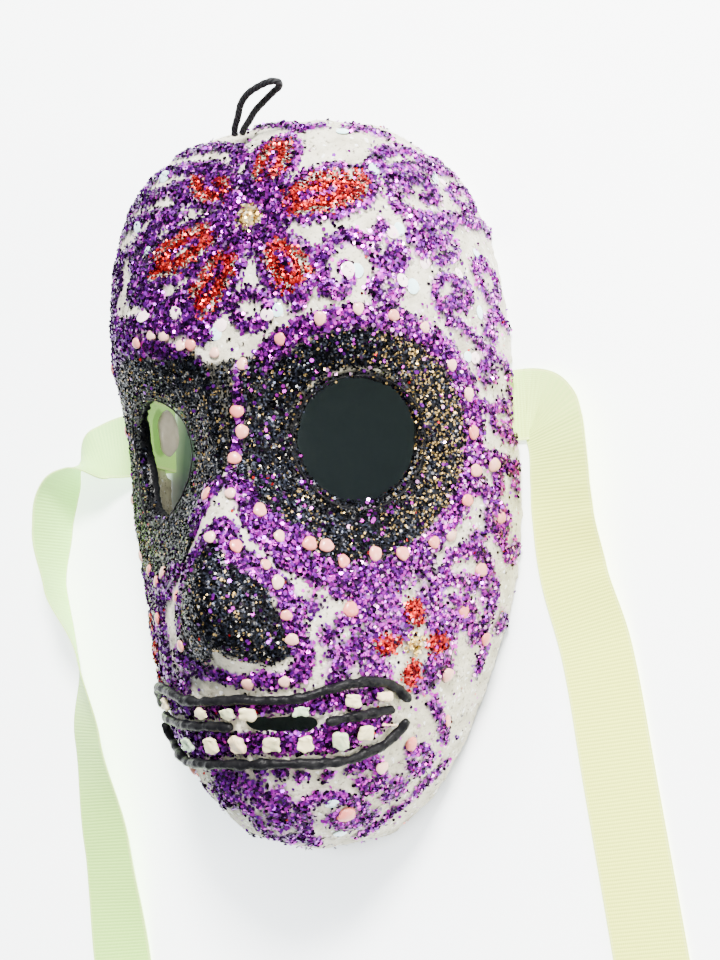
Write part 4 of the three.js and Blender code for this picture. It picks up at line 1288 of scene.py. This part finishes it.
def gem_finish(name, palette, roughness, coat):
    made = Finish(name, coat_weight=coat, coat_roughness=0.1)
    shade = made.attribute("shade")
    cloud = made.noise(0.0022)
    made.set(base_color=made.ramp(shade * 0.8 + cloud * 0.2, palette))
    made.set(roughness=roughness + cloud * 0.15)
    made.bump(cloud, 0.00025)
    return made.material


PEACH = [(0.2, (0.66, 0.17, 0.14)), (0.55, (0.70, 0.28, 0.22)), (0.8, (0.74, 0.42, 0.34))]
TOOTH = [
    (0.1, (0.34, 0.60, 0.40)), (0.35, (0.66, 0.58, 0.32)), (0.65, (0.72, 0.63, 0.37)),
    (0.9, (0.72, 0.33, 0.22)),
]
SEQUIN = [
    (0.1, (0.50, 0.82, 0.88)), (0.45, (0.66, 0.88, 0.90)), (0.7, (0.92, 0.74, 0.78)),
    (0.9, (0.94, 0.66, 0.70)),
]
peach = gem_finish("peach_pearl", PEACH, 0.3, 0.3)
tooth_paint = gem_finish("tooth_paint", TOOTH, 0.35, 0.25)
iridescent = gem_finish("sequin", SEQUIN, 0.15, 0.9)

PEARLS = [
    (45, 42, 55), (51, 39, 47), (55, 30, 37), (57, 22, 30), (57, 11, 28), (57, 0, 27), (55, -9, 29),
    (51, -18, 32), (47, -21, 37), (41, -24, 45), (35, -24, 51), (29, -26, 58), (25, -22, 61),
    (21, -21, 64), (15, -19, 69), (38, 43, 63), (29, 41, 68),
]
MIDDLE_PEARLS = [
    (10, -12, 71), (3, -7, 74), (-5, -6, 72), (4, 17, 70), (4, 11, 70), (2, 3, 70), (-3, 34, 70),
    (6, 30, 70), (17, 36, 69), (-11, 37, 70), (-15, 38, 70), (-20, 41, 70), (-25, 42, 69),
    (-30, 41, 68), (0, -19, 81), (6, -22, 78), (12, -27, 74), (15, -32, 72), (17, -41, 70),
    (18, -47, 69), (14, -58, 66), (4, -58, 69), (-27, -26, 60), (-32, -29, 55), (-18, -34, 69),
    (-16, -48, 71),
]
CHEEK_PEARLS = [
    (30, -39, 57), (56, -28, 22), (52, -40, 26), (53, -48, 15), (46, -58, 27), (60, 3, 19),
    (61, -13, 15), (43, -72, 21), (37, -78, 33), (30, -83, 41),
]
set_gems("border_pearls", PEARLS + [(-x, y, z) for x, y, z in PEARLS[1:10:2]], 0.0019, 0.42, peach)
set_gems("middle_pearls", MIDDLE_PEARLS, 0.0018, 0.42, peach)
left_cheek_pearls = [(-x, y, z) for x, y, z in CHEEK_PEARLS]
set_gems("cheek_pearls", CHEEK_PEARLS + left_cheek_pearls, 0.0021, 0.4, peach)
set_gems("chin_pearl", [(19, -96, 41)], 0.0027, 0.45, peach, shades=[0.1])
PINK = [
    (14, 43, 70), (-1, 42, 70), (36, 54, 65), (46, 66, 54), (52, 58, 46), (48, 52, 54), (51, 88, 26),
    (57, 57, 33),
]
PINK += [(59, 33, 27), (-27, 48, 69), (-16, 47, 71)]
BLUE = [
    (17, 44, 70), (-3, 40, 70), (38, 54, 63), (40, 86, 53), (47, 67, 52), (50, 51, 51), (51, 88, 30),
    (59, 66, 19),
]
BLUE += [
    (60, 47, 23), (58, 33, 30), (-26, 93, 57), (29, 100, 50), (-34, 78, 60), (-28, 68, 66),
    (15, -103, 35), (18, -93, 47),
]
set_gems("pink_sequins", PINK, 0.0021, 0.16, iridescent, shades=[0.85] * len(PINK), uneven=0.02)
set_gems("blue_sequins", BLUE, 0.0020, 0.16, iridescent, shades=[0.2] * len(BLUE), uneven=0.02)
print("pearls and sequins set")

# %% Teeth
for i, node in enumerate(n for n in nodes if "_tooth_" in n):
    tooth = copy_of(node, f"{node}_paint")
    tooth_lumps = lumps(f"tooth_lumps_{i}", 0.0035 + 0.0004 * (i % 4))
    modify(
        tooth,
        ROUNDED,
        ("DISPLACE", {"texture": tooth_lumps, "strength": 0.0026, "mid_level": 0.5}),
    )
    shade = 0.1 + 0.8 * ((i * 5) % 12) / 12
    keep_values(tooth, "shade", np.full(len(tooth.data.vertices), shade))
    smooth_shade(tooth, 60)
    finish_piece(tooth, tooth_paint, "gem_paint", node)
print("teeth painted")

# %% [markdown]
# ## Painted lines, lips of the eye holes and glue
# Puffy paint is squeezed from a bottle: a rounded bead whose width wavers. The CAD beads are right
# in place and size, so each is copied, subdivided until round, and displaced a little.

# %% Beads of paint
paint = Finish("puffy_black_paint", roughness=0.3, specular_ior_level=0.07)
wet = paint.noise(0.003)
paint.set(base_color=paint.ramp(wet, [(0.3, (0.002, 0.002, 0.003)), (0.75, (0.010, 0.010, 0.011))]))
paint.set(roughness=0.22 + wet * 0.3)
paint.bump(paint.noise(0.0012), 0.0003)
bead_lumps = lumps("bead_lumps", 0.0032)
for node in [n for n in nodes if n.startswith("mouth_") or n.endswith("_eye_rim")]:
    bead = copy_of(node, f"{node}_bead")
    strength, mid_level = (0.0007, 1.3) if node.endswith("_eye_rim") else (0.0015, 0.1)
    wavering = {"texture": bead_lumps, "strength": strength, "mid_level": mid_level}
    modify(bead, ROUNDED, ("DISPLACE", wavering))
    smooth_shade(bead, 60)
    finish_piece(bead, paint.material, "black_paint", node)

hot_glue = Finish("hot_glue", roughness=0.25, ior=1.48)
milky = hot_glue.noise(0.004)
hot_glue.set(base_color=hot_glue.ramp(milky, [(0.3, (0.62, 0.58, 0.48)), (0.7, (0.74, 0.71, 0.62))]))
hot_glue.bump(milky, 0.0005)
for node in ("right_ribbon_glue", "left_ribbon_glue"):
    blob = copy_of(node, f"{node}_blob")
    modify(
        blob,
        ROUNDED,
        ("DISPLACE", {"texture": lumps("glue_lumps", 0.006), "strength": 0.0014, "mid_level": 0.5}),
    )
    smooth_shade(blob, 60)
    finish_piece(blob, hot_glue.material, "hot_glue", node)
print("painted lines and glue done")

# %% [markdown]
# ## Table and light
# A plain pale table and clear daylight: one strong small panel high beyond the crown on the right, a
# weaker one low on the right, and a dim bluish surround. The flakes need the panels, because a mirror
# only sparkles where there is something bright to mirror. The table glows to look white, but the glow
# fades round the mask and stops under it, and its colour is darker there: a painted shadow, so the eye holes
# look into painted shade.

# %% Table
bpy.ops.object.select_all(action="DESELECT")
bpy.ops.mesh.primitive_plane_add(size=3, location=(0, 0, 0))
table = bpy.context.object
table.name = "table"
table_top = Finish("white_table", roughness=0.7, emission_strength=3.0)
MASK_HALF_HEIGHT = 0.113
spot = table_top.place()
across = (table_top.node("ShaderNodeSeparateXYZ", {}, {0: spot}) - MIDDLE.x) * (1 / (HALF_WIDTH + 0.002))
up_down = table_top.node("ShaderNodeSeparateXYZ", {}, {0: spot}, out=1) - MIDDLE.y + 0.002
up_down = up_down * (1 / MASK_HALF_HEIGHT)
out_from_mask = (across * across + up_down * up_down) ** 0.5  # 1 on the mask's outline
# The glow fades out round the mask's outline and is black under it: a painted shadow.
GLOW_AND_PAINTED_SHADOW = [(0.552, (0, 0, 0)), (0.6, (0.55, 0.60, 0.66)), (0.75, (0.84, 0.90, 0.95)), (0.96, (0.94, 0.98, 1.0))]
table_top.set(emission_color=table_top.ramp(out_from_mask * 0.6, GLOW_AND_PAINTED_SHADOW))
WHITES = [(0.3, (0.88, 0.90, 0.92)), (0.7, (0.90, 0.92, 0.94))]
bare = table_top.ramp(table_top.noise(0.02), WHITES)
# The table's colour turns dark blue-grey under the mask: painted shadow.
shaded = table_top.ramp(out_from_mask, [(0.86, (1, 1, 1)), (0.98, (0, 0, 0))])
table_top.set(base_color=table_top.mix(shaded, bare, (0.17, 0.22, 0.26, 1)))
table.data.materials.append(table_top.material)

# %% Lights


def panel(name, place, power, size, colour):
    """A square light panel that faces the mask."""
    light = bpy.data.lights.new(name, "AREA")
    light.energy = power
    light.size = size
    light.color = colour
    holder = bpy.data.objects.new(name, light)
    bpy.context.scene.collection.objects.link(holder)
    holder.location = place
    holder.rotation_euler = (at(0, 0, 20) - Vector(place)).to_track_quat("-Z", "Y").to_euler()


panel("window", (0.35, 0.75, 0.9), 78, 0.26, (1.0, 0.98, 0.94))
panel("right_panel", (0.85, -0.1, 0.45), 12, 0.35, (1.0, 0.94, 0.80))
surround = bpy.data.worlds.new("surround")
surround.use_nodes = True
sky = surround.node_tree.nodes["Background"].inputs
sky["Color"].default_value = (0.86, 0.93, 1.0, 1)
sky["Strength"].default_value = 0.72
bpy.context.scene.world = surround
print("lights set")

# %% Finish
only(shell)
bpy.ops.object.select_all(action="DESELECT")
